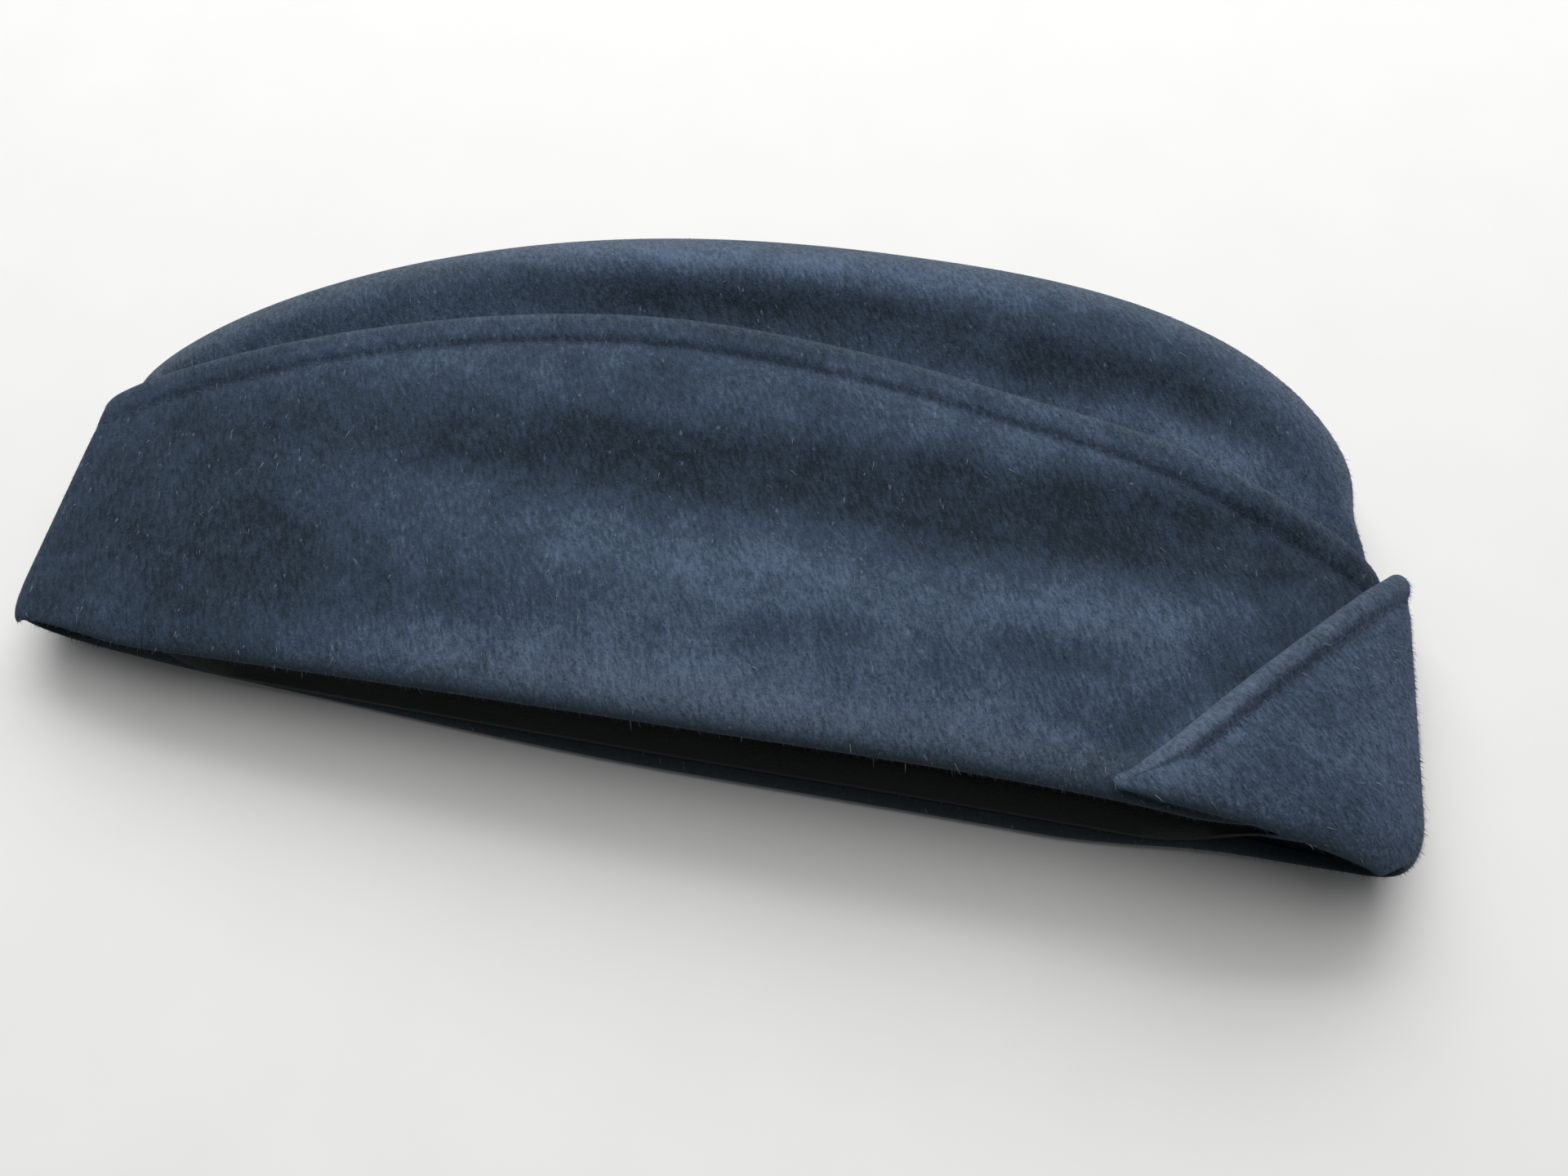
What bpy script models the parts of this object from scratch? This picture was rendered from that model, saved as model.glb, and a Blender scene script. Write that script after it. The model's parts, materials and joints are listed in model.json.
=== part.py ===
"""Soft side cap of napped wool, folded flat and lying on its left side.

Metres. +X runs to the front of the cap, +Y from the mouth up to the ridge of the crown, and +Z up from
the surface that the cap lies on. The cap is one flattened shell of many layers. A place in it is given
by its side (1 right and up, -1 left and down), its span (-1 at the back fold, 1 at the front fold), its
height above the rim, and its depth below the outer face of the curtain.
"""
import math

import bmesh
import bpy
from mathutils import Vector

# Outline of the folded cap, seen from its right side.
BACK_REACH = 0.1485           # middle of the cap to the back fold, at the rim
BACK_LEAN = 0.0030            # the back fold leans out by this at the top of the curtain
FRONT_REACH = 0.1448          # middle of the cap to the front fold of the right curtain, at the rim
FRONT_LEAN = 0.0028           # the front fold leans back by this at the top of the curtain
RIM_CORNER = 0.0110           # height of the rounded corners at the rim
FRONT_CORNER_CUT = 0.0036     # how far the front corner is rounded off
BACK_CORNER_CUT = 0.0012      # how far the back corner is rounded off
CURTAIN_BACK = 0.0605         # rim to the curtain's top edge at the back fold
CURTAIN_PEAK = 0.0980         # the same at the top of its arch
CURTAIN_FRONT = 0.0630        # the same at the front fold
CURTAIN_PEAK_SPAN = -0.12     # where along the cap the arch is highest
CURTAIN_BACK_BEND = 1.8       # power by which the arch falls away towards the back fold
CURTAIN_FRONT_BEND = 1.78     # the same towards the front fold
RIGHT_RIM_ARCH = 0.0020       # the right side's rim is drawn up by this at the foot of the lap
LEFT_RIM_ARCH = 0.0018        # the same for the left side's rim
CROWN_RISE_BACK = 0.0050      # curtain's edge to the ridge of the crown at the back fold
CROWN_RISE_PEAK = 0.0380      # the same from the top of the arch to the top of the ridge
CROWN_RISE_FRONT = 0.0060     # the same at the front fold
RIDGE_PEAK_SPAN = 0.20        # where along the cap the ridge is highest
RIDGE_BACK_BEND = 2.25        # power and fullness of the ridge's fall towards the back fold
RIDGE_BACK_FULL = 0.69
RIDGE_FRONT_BEND = 2.65       # the same towards the front fold
RIDGE_FRONT_FULL = 0.40
CROWN_FLARE = 0.0028          # how far the crown swells forward over the curtain at the front fold
ROLL_SHARE = 0.8              # most of the crown's free height that the rounding takes
CROWN_ROLL = 0.0240           # height over which the crown rounds over to its ridge

# Cloth, canvas, lining and leather.
WOOL = 0.0020
EDGE_WOOL = 0.0016            # wool where it is drawn round the edge cord
CANVAS = 0.0006
FACING = 0.0018
LINING = 0.0007
LEATHER = 0.0012
CLEARANCE = 0.0004            # between two layers
LINING_EASE = 0.0008          # the lining hangs this far inside the crown
SEAM = 0.0003                 # between the right and left pieces where they are sewn together

# Forms of the layers.
MOUTH_ABOVE = 0.0060          # fold plane up to the sweatband, mid-length
MOUTH_BELOW = 0.0027          # fold plane down to the sweatband
FRONT_FULLNESS = 0.28         # how much fuller the right side is towards the front
FRONT_BLUNT = 3.2             # power of the right side's rounding to the front fold
BACK_BLUNT = 2.0              # the same to the back fold
BACK_FLAT = 0.72              # span up to which the left side lies flat, towards the back
FRONT_FLAT = 0.50             # the same towards the front
RIGHT_PUFF = 0.0050           # swell of the crown above the curtain's edge
LEFT_PUFF = 0.0040
RIM_LIP = 0.0040              # height of the lip that is turned under at the rim
RIM_ROUND = 0.0060            # height of the rounded rim, down from the lip
EDGE_LEG = 0.0015             # straight leg of the rolled edge, towards the facing
GROOVE_DROP = 0.0025          # edge cord down to the stitched groove
GROOVE_DEPTH = 0.0005
SWEATBAND_WIDTH = 0.0300
SWEATBAND_BELOW = 0.0010      # the sweatband's sewn edge below the rim line

# Front lap.
LAP_FOOT = 0.0575             # front fold back to the foot of the slanted edge, along the rim
LAP_SLOPE = 1.19              # rise of the slanted edge over its run
LAP_SPREAD_START = 0.75       # span from which the left curtain swings out round the right one
HINGE_SETBACK = 0.0090        # front fold back to the line that the lap lifts on
HINGE_RELIEF = 0.0060         # bare wool beside that line, with no facing behind it
HEM_DROP = 0.0028             # lap's hem below the rim line
HEM_THICK = 0.0016
LEAST_LAP = 0.0030            # narrowest section of the lap, at its tip

# Swells of the right curtain, where it stands off the crown: middle (x, height above the rim), half widths
# and rise.
SWELLS = (
    ((0.010, 0.023), (0.080, 0.017), 0.0034),
    ((-0.005, 0.070), (0.120, 0.016), 0.0022),
)

# How finely the layers are divided.
STATIONS = 20                 # sections along the cap
WRAP_STEPS = 4                # sections round the front fold
EDGE_SIDES = 6                # sides of a half round
CORD_SIDES = 6
WALL_ROWS = 6                 # rows up a curtain
COVERED_ROWS = 2              # rows up the crown behind the curtain
FREE_ROWS = 3                 # rows up the crown to where it rounds over
ROLL_ANGLES = (28, 50, 67, 80, 90)   # degrees round to the ridge
LAP_COLUMNS = 6
LAP_ROWS = 9
LAP_BACKING_ROWS = 5
SMOOTH_ANGLE = 40             # degrees between faces that are shaded as one

# Depths of the layers, each behind the one before it.
CANVAS_DEPTH = WOOL + CLEARANCE
FACING_DEPTH = CANVAS_DEPTH + CANVAS + CLEARANCE
CURTAIN_STACK = FACING_DEPTH + FACING
CROWN_DEPTH = CURTAIN_STACK + CLEARANCE
LINING_DEPTH = CROWN_DEPTH + WOOL + LINING_EASE
SWEATBAND_DEPTH = LINING_DEPTH + LINING + CLEARANCE
ALL_LAYERS = SWEATBAND_DEPTH + LEATHER
LAP_LIFT = CURTAIN_STACK + CLEARANCE
LAP_TOP = LAP_FOOT * LAP_SLOPE
FOLD_HEIGHT = ALL_LAYERS + MOUTH_BELOW
RIGHT_BOW = ALL_LAYERS + MOUTH_ABOVE
RIM_TURN = SWEATBAND_DEPTH - CLEARANCE
HEM_TURN = CURTAIN_STACK - CLEARANCE
INNER_FOOT = RIM_LIP + CLEARANCE
EDGE_RADIUS = CURTAIN_STACK / 2
EDGE_BORE = EDGE_RADIUS - EDGE_WOOL
CORD_RADIUS = EDGE_BORE - SEAM
HINGE_X = FRONT_REACH - HINGE_SETBACK
RIGHT, LEFT, FOLD, WRAP = 1, -1, 0, 2


def smoothstep(value):
    value = min(max(value, 0.0), 1.0)
    return value * value * (3 - 2 * value)


def half_length(span, height):
    """Middle of the cap to its back or front fold, at a height above the rim."""
    corner = max(0.0, 1 - height / RIM_CORNER) ** 2
    if span < 0:
        lean = BACK_LEAN * min(height, CURTAIN_BACK) / CURTAIN_BACK
        return BACK_REACH + lean - BACK_CORNER_CUT * corner
    lean = FRONT_LEAN * min(height, CURTAIN_FRONT) / CURTAIN_FRONT
    return FRONT_REACH - lean - FRONT_CORNER_CUT * corner


def curtain_height(span):
    """Arched top edge of the curtain, above the rim."""
    if span < CURTAIN_PEAK_SPAN:
        away = (CURTAIN_PEAK_SPAN - span) / (CURTAIN_PEAK_SPAN + 1)
        return CURTAIN_PEAK - (CURTAIN_PEAK - CURTAIN_BACK) * away ** CURTAIN_BACK_BEND
    away = (span - CURTAIN_PEAK_SPAN) / (1 - CURTAIN_PEAK_SPAN)
    return CURTAIN_PEAK - (CURTAIN_PEAK - CURTAIN_FRONT) * away ** CURTAIN_FRONT_BEND


def ridge_height(span):
    """Ridge of the crown, above the rim: a slow rise from the back and a full shoulder at the front."""
    peak = CURTAIN_PEAK + CROWN_RISE_PEAK
    if span < RIDGE_PEAK_SPAN:
        base = CURTAIN_BACK + CROWN_RISE_BACK
        away = (RIDGE_PEAK_SPAN - span) / (RIDGE_PEAK_SPAN + 1)
        return base + (peak - base) * max(0.0, 1 - away ** RIDGE_BACK_BEND) ** RIDGE_BACK_FULL
    base = CURTAIN_FRONT + CROWN_RISE_FRONT
    away = (span - RIDGE_PEAK_SPAN) / (1 - RIDGE_PEAK_SPAN)
    return base + (peak - base) * max(0.0, 1 - away ** RIDGE_FRONT_BEND) ** RIDGE_FRONT_FULL


def crown_roll(span):
    """Height over which the crown rounds over, less where little of it stands above the curtain."""
    return min(CROWN_ROLL, ROLL_SHARE * (ridge_height(span) - curtain_height(span)))


def closing(span, height, depth):
    """1 on the flat of the crown, falling to 0 at the ridge along a quarter of an ellipse."""
    roll = crown_roll(span) - (depth - CROWN_DEPTH)
    past = (height - (ridge_height(span) - crown_roll(span))) / roll
    return math.sqrt(max(0.0, 1 - min(max(past, 0.0), 1.0) ** 2))


def fullness(side, span):
    """Share of the full thickness: a bowed right side, and a left side that lies flat to near its ends."""
    if side == RIGHT:
        return math.sqrt(max(0.0, 1 - abs(span) ** (BACK_BLUNT if span < 0 else FRONT_BLUNT)))
    flat = BACK_FLAT if span < 0 else FRONT_FLAT
    past = max(0.0, (abs(span) - flat) / (1 - flat))
    return math.sqrt(max(0.0, 1 - min(past, 1.0) ** 2))


def rim_rise(side, span, height):
    """How far a side is drawn up, most at its rim and towards the front."""
    arch = RIGHT_RIM_ARCH if side == RIGHT else LEFT_RIM_ARCH
    share = (1 + span) / 2
    fading = 1 - min(max(height / CURTAIN_FRONT, 0.0), 1.0)
    return arch * math.sin(math.pi * share ** 3) * fading ** 2


def swell(x, height, depth):
    """Rise of the right curtain's layers off the crown."""
    if depth >= CROWN_DEPTH:
        return 0.0
    rise = 0.0
    for (middle_x, middle_height), (wide, high), amount in SWELLS:
        rise += amount * math.exp(-((x - middle_x) / wide) ** 2 - ((height - middle_height) / high) ** 2)
    return rise


def place(side, span, height, depth):
    """Point of the shell. FOLD as the side is the fold itself, where the two sides join."""
    x = (half_length(span, height) - depth) * span
    if side == FOLD:
        return Vector((x, height, FOLD_HEIGHT))
    full = fullness(side, span)
    free = (height - curtain_height(span)) / (ridge_height(span) - curtain_height(span))
    swollen = smoothstep(2 * free)
    if depth >= CROWN_DEPTH:
        x += CROWN_FLARE * swollen * max(span, 0.0) ** 2
    puff = swollen * full
    if side == RIGHT:
        bow = RIGHT_BOW * (1 + FRONT_FULLNESS * span) - depth
        rise = bow * full + RIGHT_PUFF * puff + swell(x, height, depth) * full
    else:
        rise = (FOLD_HEIGHT - SEAM / 2 - depth) * full + LEFT_PUFF * puff
    rise *= closing(span, height, depth)
    y = height + rim_rise(side, span, height)
    return Vector((x, y, FOLD_HEIGHT + side * (SEAM / 2 + rise)))


def place_on_right(x, height, depth):
    """Point of the right side at a given x."""
    return place(RIGHT, x / (half_length(1, height) - depth), height, depth)


def place_on_course(side, span, height, depth):
    """Point of a curtain. WRAP as the side goes on from the front fold towards the lap's hinge line."""
    if side != WRAP:
        return place(side, span, height, depth)
    fold = half_length(1, height) - depth
    return place_on_right(fold + (HINGE_X - fold) * span, height, depth)


def spans(first=0, last=STATIONS):
    """Spans of the sections, closer together towards the two folds."""
    return [-math.cos(math.pi * i / STATIONS) for i in range(first, last + 1)]


def rows(low, high, count):
    return [low + (high - low) * i / count for i in range(count + 1)]


def wall_rows(low, high, count):
    """Rows up a wall, with one at the top of the rounded rim corners."""
    return [low] + rows(RIM_CORNER, high, count)


def curtain_course():
    """Left curtain's way: along the left side, round the front fold, and up to the lap's hinge line.
    Each entry is side, span, height of the top edge, and how far the layers have swung out, from 0 to 1.
    Past the fold a share of the way to the hinge line takes the place of the span."""
    course = []
    for span in spans(0, STATIONS - 1):
        out = smoothstep((span - LAP_SPREAD_START) / (1 - LAP_SPREAD_START))
        course.append((LEFT, span, curtain_height(span) + (LAP_TOP - CURTAIN_FRONT) * out, out))
    course.append((FOLD, 1.0, LAP_TOP, 1.0))
    for step in range(1, WRAP_STEPS + 1):
        share = (step / WRAP_STEPS) ** 2
        edge = LAP_TOP + (lap_edge_height(HINGE_X) - LAP_TOP) * share
        course.append((WRAP, share, edge, 1.0))
    return course


def right_course():
    """Right curtain's way, from the back seam to just short of the front fold."""
    return [(RIGHT, span, curtain_height(span), 0.0) for span in spans(0, STATIONS - 1)]


def lap_edge_height(x):
    return (x - (FRONT_REACH - LAP_FOOT)) * LAP_SLOPE


def lap_edge_x(height):
    return FRONT_REACH - LAP_FOOT + height / LAP_SLOPE


# Sections. Each is a closed run of (height, depth), outer face first.

def edge_middle(top):
    """Height of the edge cord under a top edge."""
    return top - EDGE_RADIUS


def curtain_wall(top):
    """Heights up the flat of a curtain, from its rim corner to below the stitched groove."""
    return rows(RIM_CORNER, edge_middle(top) - 2 * GROOVE_DROP, WALL_ROWS)


def curtain_section(top, out):
    """Wool of a curtain: turned under at the rim, up the outer face, and rolled over the edge cord."""
    turn = RIM_TURN + (HEM_TURN - RIM_TURN) * out
    middle = edge_middle(top)
    section = []
    for i in range(EDGE_SIDES + 1):
        angle = math.pi * i / EDGE_SIDES
        section.append((RIM_LIP - RIM_ROUND * math.sin(angle), turn / 2 * (1 + math.cos(angle))))
    groove = middle - GROOVE_DROP
    wall = curtain_wall(top)
    section += [(height, 0.0) for height in wall]
    section.append((groove, GROOVE_DEPTH))
    for i in range(EDGE_SIDES + 1):
        angle = math.pi * (1 - i / EDGE_SIDES)
        section.append((middle + EDGE_RADIUS * math.sin(angle), EDGE_RADIUS * (1 + math.cos(angle))))
    section.append((middle - EDGE_LEG, CURTAIN_STACK))
    section.append((middle - EDGE_LEG, CURTAIN_STACK - EDGE_WOOL))
    for i in range(EDGE_SIDES + 1):
        angle = math.pi * i / EDGE_SIDES
        section.append((middle + EDGE_BORE * math.sin(angle), EDGE_RADIUS + EDGE_BORE * math.cos(angle)))
    section.append((groove, WOOL))
    section += [(height, WOOL) for height in reversed(wall)]
    for i in range(EDGE_SIDES + 1):
        angle = math.pi * (1 - i / EDGE_SIDES)
        bore = turn / 2 - WOOL
        section.append((RIM_LIP - (RIM_ROUND - WOOL) * math.sin(angle), turn / 2 + bore * math.cos(angle)))
    return section


def backing_section(top, depth, thickness):
    """Flat layer behind a curtain's wool, from the turned rim up to the rolled edge."""
    heights = [INNER_FOOT] + curtain_wall(top) + [edge_middle(top) - EDGE_LEG - CLEARANCE]
    face = [(height, depth) for height in heights]
    back = [(height, depth + thickness) for height in reversed(heights)]
    return face + back


def cord_section(top):
    section = []
    for i in range(CORD_SIDES):
        angle = 2 * math.pi * i / CORD_SIDES
        section.append((edge_middle(top) + CORD_RADIUS * math.sin(angle),
                        EDGE_RADIUS - CORD_RADIUS * math.cos(angle)))
    return section


def crown_face(span, depth):
    """Heights up one face of a crown layer: under the curtain, over the puff and round to the ridge."""
    edge = curtain_height(span)
    bend = ridge_height(span) - crown_roll(span)
    roll = crown_roll(span) - (depth - CROWN_DEPTH)
    heights = wall_rows(INNER_FOOT, edge, COVERED_ROWS) + rows(edge, bend, FREE_ROWS)[1:]
    for degrees in ROLL_ANGLES:
        heights.append(bend + roll * math.sin(math.radians(degrees)))
    return heights


def crown_section(span, depth, thickness):
    face = [(height, depth) for height in crown_face(span, depth)]
    back = [(height, depth + thickness) for height in reversed(crown_face(span, depth + thickness))]
    return face + back


# Objects.

def finish(name, colour, roughness):
    material = bpy.data.materials.new(name)
    material.use_nodes = True
    shader = material.node_tree.nodes["Principled BSDF"]
    shader.inputs["Base Color"].default_value = (*colour, 1.0)
    shader.inputs["Roughness"].default_value = roughness
    shader.inputs["Metallic"].default_value = 0.0
    return material


def skin(name, material, parent, sections):
    """Closed body through a row of closed sections that have the same number of points."""
    mesh = bpy.data.meshes.new(name)
    body = bpy.data.objects.new(name, mesh)
    body.parent = parent
    bpy.context.scene.collection.objects.link(body)
    offset = parent.location if parent.parent else Vector()
    bm = bmesh.new()
    rings = [[bm.verts.new(point - offset) for point in section] for section in sections]
    for ring, following in zip(rings, rings[1:]):
        for i, corner in enumerate(ring):
            j = (i + 1) % len(ring)
            bm.faces.new((corner, ring[j], following[j], following[i]))
    bm.faces.new(reversed(rings[0]))
    bm.faces.new(rings[-1])
    bmesh.ops.recalc_face_normals(bm, faces=bm.faces)
    bmesh.ops.triangulate(bm, faces=bm.faces, quad_method="FIXED", ngon_method="BEAUTY")
    if bm.calc_volume(signed=True) < 0:
        bmesh.ops.reverse_faces(bm, faces=bm.faces)
    bm.to_mesh(mesh)
    bm.free()
    mesh.materials.append(material)
    mesh.shade_smooth()
    mesh.set_sharp_from_angle(angle=math.radians(SMOOTH_ANGLE))
    return body


def empty(name, parent=None, location=(0, 0, 0)):
    holder = bpy.data.objects.new(name, None)
    holder.parent = parent
    holder.location = location
    bpy.context.scene.collection.objects.link(holder)
    return holder


def crown_piece(name, material, parent, side, depth, thickness):
    sections = []
    for span in spans():
        section = crown_section(span, depth, thickness)
        sections.append([place(side, span, height, deep) for height, deep in section])
    skin(name, material, parent, sections)


def curtain_piece(name, material, parent, course, section_of):
    """Layer of a curtain along its course. section_of gives its section from the top edge and the spread."""
    sections = []
    for side, span, top, out in course:
        section = section_of(top, out)
        sections.append([place_on_course(side, span, height, deep - LAP_LIFT * out)
                         for height, deep in section])
    skin(name, material, parent, sections)


def curtain(side_name, course, parent, wool, canvas, cord):
    curtain_piece(side_name + "_curtain", wool, parent, course, curtain_section)
    ends_at_fold = [entry for entry in course if entry[0] != WRAP]
    curtain_piece(side_name + "_curtain_interlining", canvas, parent, ends_at_fold,
                  lambda top, out: backing_section(top, CANVAS_DEPTH, CANVAS))
    curtain_piece(side_name + "_curtain_facing", wool, parent, ends_at_fold,
                  lambda top, out: backing_section(top, FACING_DEPTH, FACING))
    curtain_piece(side_name + "_edge_cord", cord, parent, course, lambda top, out: cord_section(top))


def sweatband(material, parent):
    """Leather strip round the mouth: along the right side, round the front fold, and back along the left.
    Its two ends meet at the back fold."""
    way = [(RIGHT, span) for span in spans(0, STATIONS - 1)]
    way.append((FOLD, 1.0))
    way += [(LEFT, span) for span in reversed(spans(0, STATIONS - 1))]
    heights = [-SWEATBAND_BELOW] + wall_rows(INNER_FOOT, SWEATBAND_WIDTH - SWEATBAND_BELOW, 1)
    sections = []
    for side, span in way:
        face = [place(side, span, height, SWEATBAND_DEPTH) for height in heights]
        back = [place(side, span, height, ALL_LAYERS) for height in reversed(heights)]
        sections.append(face + back)
    skin("sweatband", material, parent, sections)


# Front lap. Its sections run from the hinge line to the slanted edge, at one height each, and lie on the
# right curtain. Depths here are those of the curtain's layers, lifted by LAP_LIFT.

EDGE_RUN = math.sqrt(1 + 1 / LAP_SLOPE ** 2)   # length of a level cut across the slanted edge
ROLL_RUN = 2 * EDGE_RADIUS * EDGE_RUN
LEG_RUN = (EDGE_RADIUS + EDGE_LEG) * EDGE_RUN


def lap_squeeze(height):
    """1 where the rolled edge has its full width, less towards the lap's tip."""
    room = HINGE_X - SEAM - lap_edge_x(height)
    return min(1.0, room / (ROLL_RUN + 2 * GROOVE_DROP * EDGE_RUN + LEAST_LAP))


def lap_section(height):
    """Wool of the lap at one height: out from the hinge line and round the edge cord."""
    start = HINGE_X - SEAM
    edge = lap_edge_x(height)
    run = EDGE_RUN * lap_squeeze(height)
    middle = edge + EDGE_RADIUS * run
    groove = middle + GROOVE_DROP * run
    wall = rows(start, groove + GROOVE_DROP * run, LAP_COLUMNS)
    section = [(x, 0.0) for x in wall]
    section.append((groove, GROOVE_DEPTH))
    for i in range(EDGE_SIDES + 1):
        angle = math.pi * i / EDGE_SIDES
        section.append((middle - EDGE_RADIUS * run * math.sin(angle), EDGE_RADIUS * (1 - math.cos(angle))))
    leg = middle + EDGE_LEG * run
    section.append((leg, CURTAIN_STACK))
    section.append((leg, CURTAIN_STACK - EDGE_WOOL))
    for i in range(EDGE_SIDES + 1):
        angle = math.pi * i / EDGE_SIDES
        section.append((middle - EDGE_BORE * run * math.sin(angle), EDGE_RADIUS + EDGE_BORE * math.cos(angle)))
    section.append((groove, WOOL))
    section += [(x, WOOL) for x in reversed(wall)]
    return section


def lap_piece(name, material, parent, heights, section_of):
    sections = []
    for height in heights:
        section = section_of(height)
        sections.append([place_on_right(x, height, deep - LAP_LIFT) for x, deep in section])
    return skin(name, material, parent, sections)


def lap_hem(material, parent, body_foot):
    """Bar that is joined to the lap's wool: the hem, turned under along the rim."""
    corners = ((-HEM_DROP, 0.0), (body_foot + SEAM, 0.0),
               (body_foot + SEAM, CURTAIN_STACK), (-HEM_DROP, CURTAIN_STACK))
    columns = rows(HINGE_X - HINGE_RELIEF, lap_edge_x(0), LAP_COLUMNS)
    sections = []
    for x in columns:
        sections.append([place_on_right(x, height, deep - LAP_LIFT) for height, deep in corners])
    hem = skin("front_lap_hem", material, parent, sections)
    hem.hide_render = True
    hem.display_type = "WIRE"
    return hem


def lap_tip():
    """Height at which the lap is narrowed to LEAST_LAP."""
    return lap_edge_height(HINGE_X - SEAM - LEAST_LAP)


def lap_backing_section(height, depth, thickness):
    near = HINGE_X - HINGE_RELIEF
    far = lap_edge_x(height) + ROLL_RUN / 2 + EDGE_LEG * EDGE_RUN + CLEARANCE
    columns = rows(near, far, LAP_COLUMNS)
    return [(x, depth) for x in columns] + [(x, depth + thickness) for x in reversed(columns)]


def lap_cord_section(height):
    run = EDGE_RUN * lap_squeeze(height)
    middle = lap_edge_x(height) + EDGE_RADIUS * run
    section = []
    for i in range(CORD_SIDES):
        angle = 2 * math.pi * i / CORD_SIDES
        section.append((middle + CORD_RADIUS * run * math.cos(angle),
                        EDGE_RADIUS - CORD_RADIUS * math.sin(angle)))
    return section


def front_lap(parent, wool, canvas, cord):
    body_foot = HEM_THICK - HEM_DROP
    heights = rows(body_foot, lap_tip(), LAP_ROWS)
    lap = lap_piece("front_lap", wool, parent, heights, lap_section)
    hem = lap_hem(wool, parent, body_foot)
    join = lap.modifiers.new("turned hem", "BOOLEAN")
    join.operation = "UNION"
    join.object = hem
    backing_tip = lap_edge_height(HINGE_X - HINGE_RELIEF - ROLL_RUN - LEG_RUN)
    above_hem = body_foot + SEAM + CLEARANCE
    backing_heights = rows(above_hem, backing_tip, LAP_BACKING_ROWS)
    lap_piece("front_lap_interlining", canvas, parent, backing_heights,
              lambda height: lap_backing_section(height, CANVAS_DEPTH, CANVAS))
    lap_piece("front_lap_facing", wool, parent, backing_heights,
              lambda height: lap_backing_section(height, FACING_DEPTH, FACING))
    lap_piece("front_lap_edge_cord", cord, parent, [above_hem] + heights[1:], lap_cord_section)


def centre_on_base(holder):
    """Move the whole cap so that the middle of its base is at the origin."""
    bpy.context.view_layer.update()
    corners = []
    for body in bpy.data.objects:
        if body.type == "MESH":
            corners += [body.matrix_world @ vertex.co for vertex in body.data.vertices]
    lowest = [min(corner[axis] for corner in corners) for axis in range(3)]
    highest = [max(corner[axis] for corner in corners) for axis in range(3)]
    holder.location = (-(lowest[0] + highest[0]) / 2, -(lowest[1] + highest[1]) / 2, -lowest[2])
    bpy.context.view_layer.update()


for leftover in list(bpy.data.objects):
    bpy.data.objects.remove(leftover, do_unlink=True)

wool = finish("navy napped wool", (0.042, 0.063, 0.105), 0.95)
canvas = finish("canvas interlining", (0.42, 0.37, 0.29), 0.90)
cotton = finish("black cotton lining", (0.010, 0.011, 0.013), 0.70)
leather = finish("brown leather", (0.018, 0.014, 0.012), 0.55)
cord = finish("cotton cord", (0.45, 0.42, 0.36), 0.90)

cap = empty("cap")
hinge = place_on_right(HINGE_X, RIM_CORNER, -LAP_LIFT)
lap_hinge = empty("front_lap_hinge", cap, hinge)

for side_name, side in (("right", RIGHT), ("left", LEFT)):
    crown_piece(side_name + "_crown_panel", wool, cap, side, CROWN_DEPTH, WOOL)
    crown_piece(side_name + "_crown_lining", cotton, cap, side, LINING_DEPTH, LINING)
sweatband(leather, cap)
curtain("right", right_course(), cap, wool, canvas, cord)
curtain("left", curtain_course(), cap, wool, canvas, cord)
front_lap(lap_hinge, wool, canvas, cord)
centre_on_base(cap)
print("lap hinge at", tuple(round(value, 5) for value in lap_hinge.matrix_world.translation))
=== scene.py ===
"""Looks of a soft side cap of napped wool: its cloth, leather, thread and nap, in a plain studio.

Metres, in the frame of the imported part: +X to the front of the cap, +Y from its mouth to its ridge, +Z up.
"""
import json
import math

import bpy
import numpy as np
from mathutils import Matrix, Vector


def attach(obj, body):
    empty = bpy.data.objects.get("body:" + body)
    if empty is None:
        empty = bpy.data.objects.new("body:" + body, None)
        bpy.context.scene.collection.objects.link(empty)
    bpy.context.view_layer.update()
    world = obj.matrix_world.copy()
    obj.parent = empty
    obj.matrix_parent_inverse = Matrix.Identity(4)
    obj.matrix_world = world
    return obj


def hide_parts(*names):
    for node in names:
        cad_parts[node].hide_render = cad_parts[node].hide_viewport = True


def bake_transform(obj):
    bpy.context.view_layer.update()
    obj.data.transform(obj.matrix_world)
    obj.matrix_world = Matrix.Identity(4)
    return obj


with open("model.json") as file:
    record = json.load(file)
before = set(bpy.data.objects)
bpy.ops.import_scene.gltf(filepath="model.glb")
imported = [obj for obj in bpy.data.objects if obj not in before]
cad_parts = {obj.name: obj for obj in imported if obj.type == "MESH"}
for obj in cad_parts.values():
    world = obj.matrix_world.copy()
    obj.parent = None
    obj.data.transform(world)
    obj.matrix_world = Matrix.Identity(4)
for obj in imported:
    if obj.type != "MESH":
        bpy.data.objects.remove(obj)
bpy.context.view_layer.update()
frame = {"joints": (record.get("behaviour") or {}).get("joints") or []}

# Crown panels.
# Two pieces of napped wool, right and left, sewn together along the ridge. They hang from the ridge inside
# the curtain to the rim, so only the puffed part above the curtain's arched edge shows.
# Outline of the folded cap, as in the solids.
BACK_REACH = 0.1485
BACK_LEAN = 0.0030
FRONT_REACH = 0.1448
FRONT_LEAN = 0.0028
RIM_CORNER = 0.0110
FRONT_CORNER_CUT = 0.0036
BACK_CORNER_CUT = 0.0012
CURTAIN_BACK = 0.0605
CURTAIN_PEAK = 0.0980
CURTAIN_FRONT = 0.0630
CURTAIN_PEAK_SPAN = -0.12
CURTAIN_BACK_BEND = 1.8
CURTAIN_FRONT_BEND = 1.78
RIGHT_RIM_ARCH = 0.0020
LEFT_RIM_ARCH = 0.0018
CROWN_RISE_BACK = 0.0050
CROWN_RISE_PEAK = 0.0380
CROWN_RISE_FRONT = 0.0060
RIDGE_PEAK_SPAN = 0.20
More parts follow.
